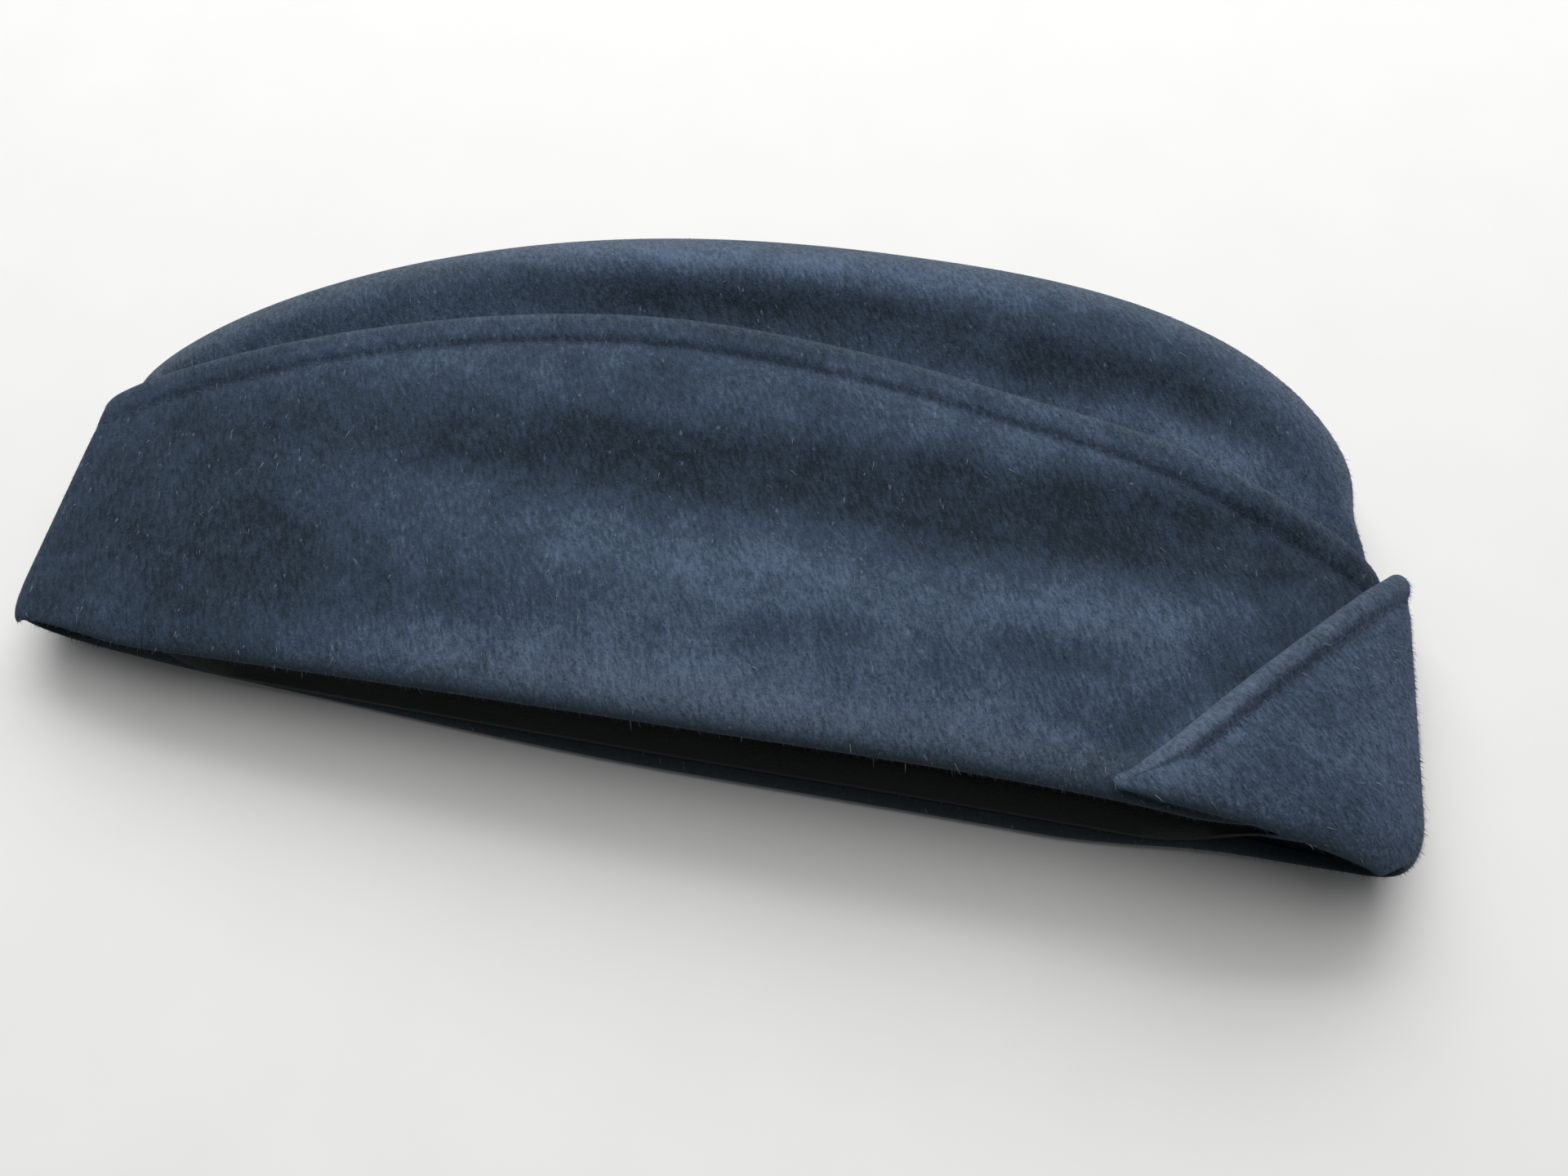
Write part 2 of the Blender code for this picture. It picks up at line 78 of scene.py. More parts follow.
RIDGE_BACK_BEND = 2.25
RIDGE_BACK_FULL = 0.69
RIDGE_FRONT_BEND = 2.65
RIDGE_FRONT_FULL = 0.40
CROWN_FLARE = 0.0028
CROWN_ROLL = 0.0240
ROLL_SHARE = 0.8
# The soft crown is drawn in above its front foot, so far, so high up and over such a height.
CROWN_WAIST = 0.0024
WAIST_HIGH = 0.0820
WAIST_SPREAD = 0.0090

# Thickness of cloth and leather, and the depths of their layers, as in the solids.
WOOL = 0.0020
EDGE_WOOL = 0.0016
CANVAS = 0.0006
FACING = 0.0018
LINING = 0.0007
LEATHER = 0.0012
CLEARANCE = 0.0004
LINING_EASE = 0.0008
SEAM = 0.0003
CANVAS_DEPTH = WOOL + CLEARANCE
FACING_DEPTH = CANVAS_DEPTH + CANVAS + CLEARANCE
CURTAIN_STACK = FACING_DEPTH + FACING
CROWN_DEPTH = CURTAIN_STACK + CLEARANCE
LINING_DEPTH = CROWN_DEPTH + WOOL + LINING_EASE
SWEATBAND_DEPTH = LINING_DEPTH + LINING + CLEARANCE
ALL_LAYERS = SWEATBAND_DEPTH + LEATHER
LAP_LIFT = CURTAIN_STACK + CLEARANCE

# Bow of the two sides off the fold, as in the solids.
MOUTH_ABOVE = 0.0060
MOUTH_BELOW = 0.0027
FRONT_FULLNESS = 0.28
FRONT_BLUNT = 3.2
BACK_BLUNT = 2.0
BACK_FLAT = 0.72
FRONT_FLAT = 0.50
RIGHT_PUFF = 0.0050
LEFT_PUFF = 0.0040
FOLD_HEIGHT = ALL_LAYERS + MOUTH_BELOW
RIGHT_BOW = ALL_LAYERS + MOUTH_ABOVE
INNER_FOOT = 0.0044  # rim up to the foot of the inner layers
HINGE_SETBACK = 0.0090  # front fold back to the line that the lap lifts on
RIGHT, LEFT = 1, -1
SIDES = {"right": RIGHT, "left": LEFT}

# Swells of the right curtain off the crown, as in the solids: middle (x, height above the rim), half widths
# and rise.
SWELLS = (
    ((0.010, 0.023), (0.080, 0.017), 0.0034),
    ((-0.005, 0.070), (0.120, 0.016), 0.0022),
)
# Slighter folds of all the layers of a side: middle, half widths along and across, turn in degrees, rise.
RIGHT_FOLDS = (
    ((0.020, 0.056), (0.090, 0.010), 2, -0.0009),
    ((0.100, 0.061), (0.050, 0.009), 6, -0.0011),
    ((-0.060, 0.028), (0.045, 0.016), -6, 0.0007),
    ((-0.104, 0.022), (0.016, 0.020), 10, -0.0011),
    ((0.020, 0.019), (0.016, 0.005), 12, -0.0007),
    ((0.066, 0.024), (0.020, 0.005), 8, -0.0009),
    ((0.095, 0.018), (0.018, 0.005), 48, -0.0011),
    ((0.084, 0.037), (0.024, 0.008), 10, 0.0009),
    ((0.100, 0.085), (0.026, 0.006), -22, 0.0013),
    ((0.078, 0.098), (0.038, 0.0065), -8, -0.0014),
    ((-0.010, 0.107), (0.065, 0.006), 4, -0.0012),
)
LEFT_FOLDS = (
    ((-0.060, 0.050), (0.045, 0.014), 8, -0.0012),
    ((0.050, 0.060), (0.050, 0.012), -10, -0.0012),
    ((0.010, 0.022), (0.060, 0.010), 4, -0.0009),
)
# Places painted pale as light on them, or dark as shade where negative: middle, half widths and share.
RIGHT_PAINTED_SHADING = (
    ((-0.010, 0.006), (0.085, 0.010), 1.2),
    ((0.096, 0.020), (0.009, 0.014), 1.0),
    ((-0.030, 0.119), (0.070, 0.008), 1.1),
    ((0.030, 0.062), (0.070, 0.009), -0.6),
    ((-0.064, 0.060), (0.050, 0.010), -0.5),
    ((-0.092, 0.018), (0.024, 0.016), -0.8),
    ((-0.014, 0.078), (0.050, 0.008), -0.4),
    ((0.030, 0.103), (0.050, 0.009), -0.5),
    ((0.104, 0.104), (0.030, 0.014), -0.3),
    ((-0.040, 0.022), (0.036, 0.016), -1.0),
    ((-0.135, 0.030), (0.020, 0.030), -0.35),
    ((0.134, 0.004), (0.030, 0.010), -0.5),
)


def smoothstep(value):
    value = np.clip(value, 0.0, 1.0)
    return value * value * (3 - 2 * value)


def rising(value, start, width):
    """0 up to start, then rising smoothly to 1 over a width."""
    return smoothstep((value - start) / width)


def half_length(span, height):
    """Middle of the cap to its back or front fold, at a height above the rim."""
    corner = np.maximum(0.0, 1 - height / RIM_CORNER) ** 2
    lean = BACK_LEAN * np.minimum(height, CURTAIN_BACK) / CURTAIN_BACK
    back = BACK_REACH + lean - BACK_CORNER_CUT * corner
    lean = FRONT_LEAN * np.minimum(height, CURTAIN_FRONT) / CURTAIN_FRONT
    return np.where(span < 0, back, FRONT_REACH - lean - FRONT_CORNER_CUT * corner)


def ways(span, peak):
    """Shares of the way from a peak to the back fold and to the front fold."""
    return np.clip((peak - span) / (peak + 1), 0, 1), np.clip((span - peak) / (1 - peak), 0, 1)


def curtain_height(span):
    """Arched top edge of the curtain, above the rim."""
    behind, before = ways(span, CURTAIN_PEAK_SPAN)
    back = (CURTAIN_PEAK - CURTAIN_BACK) * behind ** CURTAIN_BACK_BEND
    front = (CURTAIN_PEAK - CURTAIN_FRONT) * before ** CURTAIN_FRONT_BEND
    return CURTAIN_PEAK - back - front


def ridge_height(span):
    """Ridge of the crown, above the rim: a slow rise from the back and a full shoulder at the front."""
    peak = CURTAIN_PEAK + CROWN_RISE_PEAK
    back_base = CURTAIN_BACK + CROWN_RISE_BACK
    front_base = CURTAIN_FRONT + CROWN_RISE_FRONT
    behind, before = ways(span, RIDGE_PEAK_SPAN)
    back = back_base + (peak - back_base) * (1 - behind ** RIDGE_BACK_BEND) ** RIDGE_BACK_FULL
    front = front_base + (peak - front_base) * (1 - before ** RIDGE_FRONT_BEND) ** RIDGE_FRONT_FULL
    return np.where(span < RIDGE_PEAK_SPAN, back, front)


def crown_roll(span):
    """Height over which the crown rounds over, less where little of it stands above the curtain."""
    return np.minimum(CROWN_ROLL, ROLL_SHARE * (ridge_height(span) - curtain_height(span)))


def closing(span, height, depth):
    """1 on the flat of the crown, falling to 0 at the ridge along a quarter of an ellipse."""
    roll = crown_roll(span) - (depth - CROWN_DEPTH)
    past = (height - (ridge_height(span) - crown_roll(span))) / roll
    return np.sqrt(1 - np.clip(past, 0, 1) ** 2)


def fullness(side, span):
    """Share of the full thickness: a bowed right side, and a left side that lies flat to near its ends."""
    if side == RIGHT:
        return np.sqrt(1 - np.minimum(np.abs(span), 1) ** np.where(span < 0, BACK_BLUNT, FRONT_BLUNT))
    flat = np.where(span < 0, BACK_FLAT, FRONT_FLAT)
    return np.sqrt(1 - np.clip((np.abs(span) - flat) / (1 - flat), 0, 1) ** 2)


def rim_rise(side, span, height):
    """How far a side is drawn up, most at its rim and towards the front."""
    arch = RIGHT_RIM_ARCH if side == RIGHT else LEFT_RIM_ARCH
    share = np.clip((1 + span) / 2, 0, 1)
    fading = 1 - np.clip(height / CURTAIN_FRONT, 0, 1)
    return arch * np.sin(np.pi * share ** 3) * fading ** 2


def mounds(x, height, places):
    """Sum of round mounds, each with its middle, half widths and rise."""
    total = np.zeros(np.broadcast(x, height).shape)
    for (mid_x, mid_height), (wide, high), rise in places:
        total += rise * np.exp(-((x - mid_x) / wide) ** 2 - ((height - mid_height) / high) ** 2)
    return total


def drape(side, x, height):
    """Slighter folds of the soft cloth, off its plain shape."""
    rise = np.zeros(np.broadcast(x, height).shape)
    folds = RIGHT_FOLDS if side == RIGHT else LEFT_FOLDS
    for (mid_x, mid_height), (along, across), turn, amount in folds:
        cos, sin = math.cos(math.radians(turn)), math.sin(math.radians(turn))
        u = (x - mid_x) * cos + (height - mid_height) * sin
        v = (height - mid_height) * cos - (x - mid_x) * sin
        rise += amount * np.exp(-(u / along) ** 2 - (v / across) ** 2)
    return rise


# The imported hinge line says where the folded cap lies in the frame.
HINGE_X = FRONT_REACH - HINGE_SETBACK
hinge = Vector(frame["joints"][0]["pos_m"])
hinge_span = HINGE_X / (half_length(1.0, RIM_CORNER) + LAP_LIFT)
hinge_rise = rim_rise(RIGHT, hinge_span, RIM_CORNER)
OFFSET = np.array((hinge.x - HINGE_X, hinge.y - RIM_CORNER - hinge_rise, 0.0))


def place(side, span, height, depth):
    """Points of the folded shell, from spans (-1 at the back fold, 1 at the front fold), heights above the
    rim and depths below the outer face of the curtain."""
    span, height, depth = np.broadcast_arrays(span, height, depth)
    x = (half_length(span, height) - depth) * span
    full = fullness(side, span)
    free = (height - curtain_height(span)) / (ridge_height(span) - curtain_height(span))
    puff = smoothstep(2 * free)
    waist = CROWN_WAIST * np.exp(-((height - WAIST_HIGH) / WAIST_SPREAD) ** 2)
    flare = (CROWN_FLARE * puff - waist) * np.maximum(span, 0) ** 2
    x = x + np.where(depth >= CROWN_DEPTH, flare, 0)
    if side == RIGHT:
        rise = RIGHT_BOW * (1 + FRONT_FULLNESS * span) - depth + RIGHT_PUFF * puff
        rise = rise + np.where(depth < CROWN_DEPTH, mounds(x, height, SWELLS), 0)
    else:
        rise = FOLD_HEIGHT - SEAM / 2 - depth + LEFT_PUFF * puff
    rise = (rise + drape(side, x, height)) * full * closing(span, height, depth)
    y = height + rim_rise(side, span, height)
    z = FOLD_HEIGHT + side * (SEAM / 2 + rise)
    return np.stack((x, y, z), -1) + OFFSET


def spans(count):
    """Spans of count + 1 sections, closer together towards the two folds."""
    return -np.cos(np.pi * np.arange(count + 1) / count)[:, None]


def added(name, data):
    """New object in the scene."""
    piece = bpy.data.objects.new(name, data)
    bpy.context.scene.collection.objects.link(piece)
    return piece


SHARP_ANGLE = math.radians(50)  # faces that meet at more than this are shaded apart


def body_through(name, rings, material, **shares):
    """Closed mesh through a row of closed sections, an array of section, point and x, y, z. shares are
    arrays of one number per point, kept as attributes that the materials read."""
    count, points = rings.shape[:2]
    corner = np.arange(count * points).reshape(count, points)
    beside = np.roll(corner, -1, axis=1)
    quads = np.stack((corner[:-1], beside[:-1], beside[1:], corner[1:]), -1).reshape(-1, 4)
    flat = rings.reshape(-1, 3)
    first, second, third, fourth = (flat[quads[:, i]] for i in range(4))
    volume = np.sum(first * np.cross(second, third)) + np.sum(first * np.cross(third, fourth))
    faces = quads.tolist() + [corner[0, ::-1].tolist(), corner[-1].tolist()]
    if volume < 0:
        faces = [face[::-1] for face in faces]
    mesh = bpy.data.meshes.new(name)
    mesh.from_pydata(flat.tolist(), [], faces)
    for share, values in shares.items():
        attribute = mesh.attributes.new(share, "FLOAT", "POINT")
        values = np.broadcast_to(values, (count, points)).astype(np.float32)
        attribute.data.foreach_set("value", values.ravel())
    mesh.shade_smooth()
    mesh.set_sharp_from_angle(angle=SHARP_ANGLE)
    mesh.materials.append(material)
    return added(name, mesh)


class Link:
    """One output of a node. Sums and products of links and numbers add Math nodes."""

    def __init__(self, tree, socket=None):
        self.tree = tree
        self.socket = socket

    def add(self, kind, inputs=None, output=0, **settings):
        """New node with its settings and inputs, by socket name or number."""
        node = self.tree.nodes.new(kind)
        for setting, value in settings.items():
            setattr(node, setting, value)
        for key, value in (inputs or {}).items():
            if isinstance(value, Link):
                self.tree.links.new(value.socket, node.inputs[key])
            else:
                node.inputs[key].default_value = value
        return Link(self.tree, node.outputs[output])

    def feed(self, socket):
        self.tree.links.new(self.socket, socket)

    def math(self, operation, first, second):
        return self.add("ShaderNodeMath", {0: first, 1: second}, operation=operation)

    def __add__(self, other):
        return self.math("ADD", self, other)

    def __sub__(self, other):
        return self.math("SUBTRACT", self, other)

    def __mul__(self, other):
        return self.math("MULTIPLY", self, other)

    __radd__ = __add__
    __rmul__ = __mul__

    def mixed(self, first, second):
        """Colour between two colours, with this link as the factor."""
        return self.add("ShaderNodeMix", {0: self, 6: first, 7: second}, output=2, data_type="RGBA")

    def ramp(self, *stops):
        """Colour ramp through stops of a position and a colour."""
        ramp = self.add("ShaderNodeValToRGB", {"Fac": self})
        elements = ramp.socket.node.color_ramp.elements
        while len(elements) < len(stops):
            elements.new(1.0)
        for element, stop in zip(elements, stops):
            element.position, element.color = stop
        return ramp

    def lying(self, scale=(1, 1, 1), turn=0.0):
        """Object coordinates turned about Z and then scaled along each axis."""
        own = self.add("ShaderNodeTexCoord", output=3)
        turned = self.add("ShaderNodeMapping", {"Vector": own, "Rotation": (0, 0, math.radians(turn))})
        return self.add("ShaderNodeVectorMath", {0: turned, 1: scale}, operation="MULTIPLY")

    def noise(self, vector, scale=1.0, detail=2.0, roughness=0.5):
        return self.add("ShaderNodeTexNoise", {"Vector": vector, "Scale": scale, "Detail": detail,
                                               "Roughness": roughness})

    def kept(self, name):
        """Value of one of the mesh's own attributes."""
        return self.add("ShaderNodeAttribute", output=2, attribute_name=name)

    def between(self, low, high):
        """0 up to low, rising to 1 at high."""
        return self.add("ShaderNodeMapRange", {"Value": self, "From Min": low, "From Max": high},
                        interpolation_type="SMOOTHSTEP")

    def bump(self, distance, strength=1.0):
        return self.add("ShaderNodeBump", {"Height": self, "Distance": distance, "Strength": strength})


def finish(name, **plain):
    """New material, its Principled shader's inputs, with those given set, and a link to start from."""
    material = bpy.data.materials.new(name)
    material.use_nodes = True
    inputs = material.node_tree.nodes["Principled BSDF"].inputs
    for label, value in plain.items():
        inputs[label.replace("_", " ")].default_value = value
    return material, inputs, Link(material.node_tree)


def colour(*screen):
    """Colour from its red, green and blue on screen, from 0 to 255."""
    parts = [v / 255 for v in screen]
    return (*(v / 12.92 if v < 0.0404 else ((v + 0.055) / 1.055) ** 2.4 for v in parts), 1.0)


NAP_TURN = -26.0  # degrees from the cap's length to across the lie of the nap


def wool_finish(name, nap_turn):
    """Milled wool: short fibres that lie one way over a heathered ground, rubbed pale along worn edges, with
    painted light and shade, and painted shade with some soil round the rims.
    """
    material, inputs, link = finish(name, Sheen_Weight=0.16, Sheen_Roughness=0.45, Specular_IOR_Level=0.12,
                                    Sheen_Tint=colour(176, 192, 226))
    streaks = link.noise(link.lying((1150, 330, 1150), nap_turn), 1.0, 3.0, 0.65)
    ground = link.noise(link.lying(), 1600.0, 2.0, 0.6)
    patches = link.noise(link.lying(turn=20), 100.0, 3.0, 0.55)
    clouds = link.noise(link.lying(turn=50), 26.0, 2.0)
    # Painted light and shade from the mesh: pale on swells and rising folds, dark in hollows.
    tone = link.kept("tone")
    shade = streaks * 0.62 + ground * 0.30 + patches * 0.34 + clouds * 0.26 + tone * 0.20 - 0.26
    cloth = shade.ramp((0.20, colour(29, 39, 47)), (0.50, colour(57, 71, 89)), (0.80, colour(92, 108, 133)))
    rubbed = (link.kept("wear") * (0.5 + 0.7 * ground)).between(0.10, 0.80) * 0.8
    threadbare = (streaks * 0.7 + ground * 0.3).between(0.3, 0.7)
    cloth = rubbed.mixed(cloth, threadbare.mixed(colour(66, 77, 87), colour(100, 111, 119)))
    # Painted shade, with some soil: the turned rims and hems, low in the mouth, are painted dark.
    cloth = (link.kept("soil") * 0.9).mixed(cloth, colour(42, 51, 54))
    lint = link.noise(link.lying((900, 380, 900), nap_turn + 9), 1.0, 1.0, 0.4).between(0.73, 0.80)
    cloth = (lint * 0.4).mixed(cloth, colour(120, 130, 148))
    cloth.feed(inputs["Base Color"])
    (0.88 + 0.10 * ground).feed(inputs["Roughness"])
    (streaks * 0.7 + ground * 0.4 + patches * 0.3).bump(0.0006, 0.8).feed(inputs["Normal"])
    return material


wool = wool_finish("navy napped wool", NAP_TURN)
CROWN_STATIONS = 220
COVERED_ROWS = 12
FREE_ROWS = 34
ROLL_ROWS = 22
RIDGE_WORN = 0.0250  # height of the worn band under the ridge
RIDGE_WEAR = 0.8
RIDGE_TONE = 0.9  # how much paler the worn band is made towards the front
FOLD_FULLY_PAINTED = 0.0012  # rise of a fold that is painted fully pale, as light falling on it
SWELL_FULLY_PAINTED = 0.0034  # the same for a swell, above its plain level
SWELL_PLAIN = 0.0014
SWELL_HIGHLIGHT_UPWARD = 0.0060  # the painted highlight on a swell is palest this far above its crest
PAINTED_SHADING_RANGE = (-1, 1.2)
NAP_UNDER = 0.0040  # how far the nap goes on under the curtain's edge
NAP_LOW = 0.0040  # cloth that lies lower has no nap


def painted_shading_of(side, points, curtain=False):
    """Painted light and shade: swells and rising folds are painted pale as lit, hollows dark as shaded, and
    listed places pale or dark.
    """
    x, height = points[..., 0] - OFFSET[0], points[..., 1] - OFFSET[1]
    tone = drape(side, x, height) / FOLD_FULLY_PAINTED
    if side == RIGHT:
        tone = tone + mounds(x, height, RIGHT_PAINTED_SHADING)
    if curtain and side == RIGHT:
        tone = tone + (mounds(x, height - SWELL_HIGHLIGHT_UPWARD, SWELLS) - SWELL_PLAIN) / SWELL_FULLY_PAINTED
    return np.clip(tone, *PAINTED_SHADING_RANGE)


def crown_layer(name, material, side, depth, thickness):
    """Layer of the crown from under the curtain over the puff to the ridge, outer face first."""
    span = spans(CROWN_STATIONS)
    edge = curtain_height(span)
    bend = ridge_height(span) - crown_roll(span)
    faces = []
    for deep in (depth, depth + thickness):
        roll = crown_roll(span) - (deep - CROWN_DEPTH)
        covered = INNER_FOOT + (edge - INNER_FOOT) * np.linspace(0, 1, COVERED_ROWS)
        free = edge + (bend - edge) * np.linspace(0, 1, FREE_ROWS + 1)[1:]
        over = bend + roll * np.sin(np.pi / 2 * np.linspace(0, 1, ROLL_ROWS + 1)[1:])
        faces.append(np.concatenate((covered, free, over), 1))
    height = np.concatenate((faces[0], faces[1][:, ::-1]), 1)
    outer = np.arange(height.shape[1]) < faces[0].shape[1]
    rings = place(side, span, height, np.where(outer, depth, depth + thickness))
    worn = outer * smoothstep((height - ridge_height(span) + RIDGE_WORN) / RIDGE_WORN)
    shown = outer * (height > edge - NAP_UNDER) * (rings[..., 2] > NAP_LOW)
    # Painted light and shade on the crown, and a paler worn band towards the front of the ridge.
    tone = painted_shading_of(side, rings) + RIDGE_TONE * worn * np.maximum(span, 0)
    return body_through(name, rings, material, wear=RIDGE_WEAR * worn, nap=shown, tone=tone)


def cut_flat(piece):
    """Read a folded sheet's points into an array, which nothing uses further."""
    points = np.empty(len(piece.data.vertices) * 3)
    piece.data.vertices.foreach_get("co", points)


crown_pieces = {}
for side_name, side in SIDES.items():
    panel = crown_layer(side_name + "_crown_wool", wool, side, CROWN_DEPTH, WOOL)
    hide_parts(side_name + "_crown_panel")
    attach(panel, "cap")
    cut_flat(panel)
    crown_pieces[side_name] = panel

# Crown linings.
# Two thin pieces of black cotton twill that follow the crown inside. They are sewn in with the sweatband
# at the rim and tacked to the ridge seam.

# Fine twill: slanted ribs half a millimetre apart, dusty where they stand up.
twill, inputs, link = finish("black cotton twill", Sheen_Weight=0.1)
ribs = link.add("ShaderNodeTexWave", {"Vector": link.lying(turn=32), "Scale": 620.0, "Distortion": 0.6,
                                      "Detail": 1.0}, output=1)
dust = link.noise(link.lying(), 60.0, 3.0)
(ribs * 0.6 + dust * 0.4).mixed(colour(14, 15, 17), colour(36, 38, 42)).feed(inputs["Base Color"])
(0.62 + 0.2 * dust).feed(inputs["Roughness"])
ribs.bump(0.0002).feed(inputs["Normal"])

for side_name, side in SIDES.items():
    lining = crown_layer(side_name + "_lining_twill", twill, side, LINING_DEPTH, LINING)
    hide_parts(side_name + "_crown_lining")
    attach(lining, "cap")
    cut_flat(lining)

# Sweatband.
# One strip of dark leather round the inside of the mouth, sewn along its lower edge and open above.
# Its ends meet at the back fold.
SWEATBAND_WIDTH = 0.0300
SWEATBAND_BELOW = 0.0010
RIM_TURN = 0.0058  # thickness of the curtain's turned rim, which the band is sewn to
BAND_END_RISE = 0.0060  # the sewn edge runs up into the two folds
BAND_END = (0.70, 0.30)  # span from which it does so, and over how much
BAND_WAVE = 0.0003  # slight waves along the band, and how close they are
BAND_WAVES = 23
BAND_PAINTED_SHADE = 0.2  # share of the band, above its sewn edge, that is painted dark as shade, with some soil
BAND_STATIONS = 150
BAND_ROWS = 14

# Grained leather: fine cells, creases along the band, and a dark, dull face.
leather, inputs, link = finish("dark leather", Specular_IOR_Level=0.3)
cells = link.add("ShaderNodeTexVoronoi", {"Vector": link.lying(), "Scale": 1500.0},
                 feature="DISTANCE_TO_EDGE")
creases = link.noise(link.lying((60, 420, 420)), 1.0, 3.0)
stain = link.noise(link.lying(), 45.0, 3.0)
tan = (stain * 0.7 + creases * 0.3).mixed(colour(40, 47, 45), colour(55, 58, 53))
tan = (cells.between(0.02, 0.25) * 0.6 + 0.4).mixed(colour(27, 29, 28), tan)
# Painted shade, with some soil: the band is painted dark along its sewn edge, low in the mouth.
link.kept("soil").mixed(tan, colour(28, 33, 33)).feed(inputs["Base Color"])
(0.62 + 0.25 * stain).feed(inputs["Roughness"])
(cells.between(0.0, 0.3) * 0.6 + creases * 0.4).bump(0.00008).feed(inputs["Normal"])

# Sections of the band along the right side, round the front fold and back along the left side.
span = spans(BAND_STATIONS)[:-1]
up = np.linspace(0, 1, BAND_ROWS)
foot = -SWEATBAND_BELOW + BAND_END_RISE * rising(np.abs(span), *BAND_END)
height = foot + (SWEATBAND_WIDTH - SWEATBAND_BELOW - foot) * up
wavy = BAND_WAVE * np.sin(3 * up) * np.sin(span * BAND_WAVES)
free = smoothstep((height + SWEATBAND_BELOW) / INNER_FOOT)
sewn = (SWEATBAND_DEPTH - RIM_TURN - CLEARANCE) * (1 - free)
faces = []
for deep in (SWEATBAND_DEPTH - sewn, ALL_LAYERS - sewn):
    right = place(RIGHT, span, height, deep + wavy)
    left = place(LEFT, span, height, deep + wavy)[::-1]
    fold = (place(RIGHT, 1.0, height[-1:], deep[-1:]) + place(LEFT, 1.0, height[-1:], deep[-1:])) / 2
    faces.append(np.concatenate((right, fold, left)))
band_rings = np.concatenate((faces[0], faces[1][:, ::-1]), 1)
# Painted shade, with some soil, along the band's sewn edge.
sewn_share = 1 - smoothstep(up / BAND_PAINTED_SHADE)
band = body_through("leather_sweatband", band_rings, leather,
                    soil=np.concatenate((sewn_share, sewn_share[::-1])))
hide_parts("sweatband")
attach(band, "cap")

# Curtain.
# The turned-up wall round the cap. Each side is wool that is turned under at the rim and rolled at the top
# over a filler cord, with canvas behind it and a wool facing at the back. A row of stitches under the cord
# draws in a groove. The left side goes on round the front fold.
RIM_LIP = 0.0040
RIM_DROP = 0.0027  # how far the turned rim hangs below the rim line
RIGHT_RIM_DROP = 0.0036  # the same on the right side, which hangs free
RIM_DRAWN = 0.0042  # how far it is drawn up behind the lap, and at the ends of the left side
BACK_DRAWN = 0.8  # share of it at the back of the right side
HEM_TURN = CURTAIN_STACK - CLEARANCE
END_FLATNESS = 0.55  # share of the rim's turn that is pressed out at the two folds
FOOT_RISE = 0.0070  # how much higher the canvas and the facing stop there
EDGE_RADIUS = CURTAIN_STACK / 2
EDGE_BORE = EDGE_RADIUS - EDGE_WOOL
EDGE_LEG = 0.0015
CORD_RADIUS = EDGE_BORE - SEAM
WELT_HIGH = 0.0036  # top edge down to the fullest part of the rolled welt
WELT_OUT = 0.0006  # how far the welt stands out of the cloth below it
WELT_RISE = 0.0034  # the height over which it does so
GROOVE_BELOW = 0.0098  # top edge down to the stitched groove
GROOVE_DEPTH = 0.0008
GROOVE_WIDTH = 0.0012
GROOVE_SLOPE = 0.0028  # its gentler side, below the stitches
GROOVE_REACH = 2.4  # it starts this many slopes below the stitches
CURTAIN_STATIONS = 300
RIM_ROWS = 17
WALL_ROWS = 46
GROOVE_ROWS = 36
ROLL_STEPS = 18
BORE_STEPS = 8
BACK_ROWS = 12
LINER_ROWS = 14
CORD_SIDES = 10
LOW_FOOT = 0.4  # most of a low wall that is left below canvas and facing
LEAST_RISE, LEAST_HEM, LEAST_LINER = 0.00001, 0.0002, 0.0004  # these keep low sections open
LAP_FOOT = 0.0575
LAP_SLOPE = 1.19
LAP_TOP = LAP_FOOT * LAP_SLOPE
LAP_SPREAD_START = 0.75
LAP_GROOVE = 0.0062  # the groove lies closer to the edge round the lap
FRONT_LIFT = 0.0030  # how far the right side's edge has slid up the crown towards the front
FOLD_RELIEF = 0.35  # share of the welt and groove that is left round the front fold
BACK_WELT_LOST = 0.85  # share of them that is lost at the back fold
RIM_WEAR = 0.45
BACK_WEAR_LOST = 0.85  # share of the rim's wear that is lost towards the back
RIM_WORN_HIGH = 0.0020  # middle and half height of the worn band along the rim
RIM_WORN = 0.0070
WELT_WORN = 0.8  # share of the welt, from its top, before its wear fades
WELT_WEAR = 0.4
# Where changes along a side set in, as a span towards a fold, and the span that they take.
EDGE_LIFTS = (0.35, 0.35)
EDGE_LIFTS_MORE = (0.85, 0.12)
RIM_FLATTENS = (0.80, 0.20)
FOOT_RISES = (0.75, 0.25)
BACK_WEAR_FADES = (0.20, 0.40)
RIGHT_RIM_RISES = (0.74, 0.20)
RIGHT_BACK_RISES = (0.80, 0.20)
LEFT_RIM_RISES = (0.56, 0.36)
LEFT_RIM_EASES = (0.93, 0.07)
BACK_WELT_FADES = (0.90, 0.10)
LEFT_WELT_FADES = (0.90, 0.08)
RIGHT_WELT_FADES = (0.90, 0.06)
SHADE_AND_SOIL_FADES = (0.50, 0.34)  # the same for the painted shade and soil round the turned rim, as shares of its turn
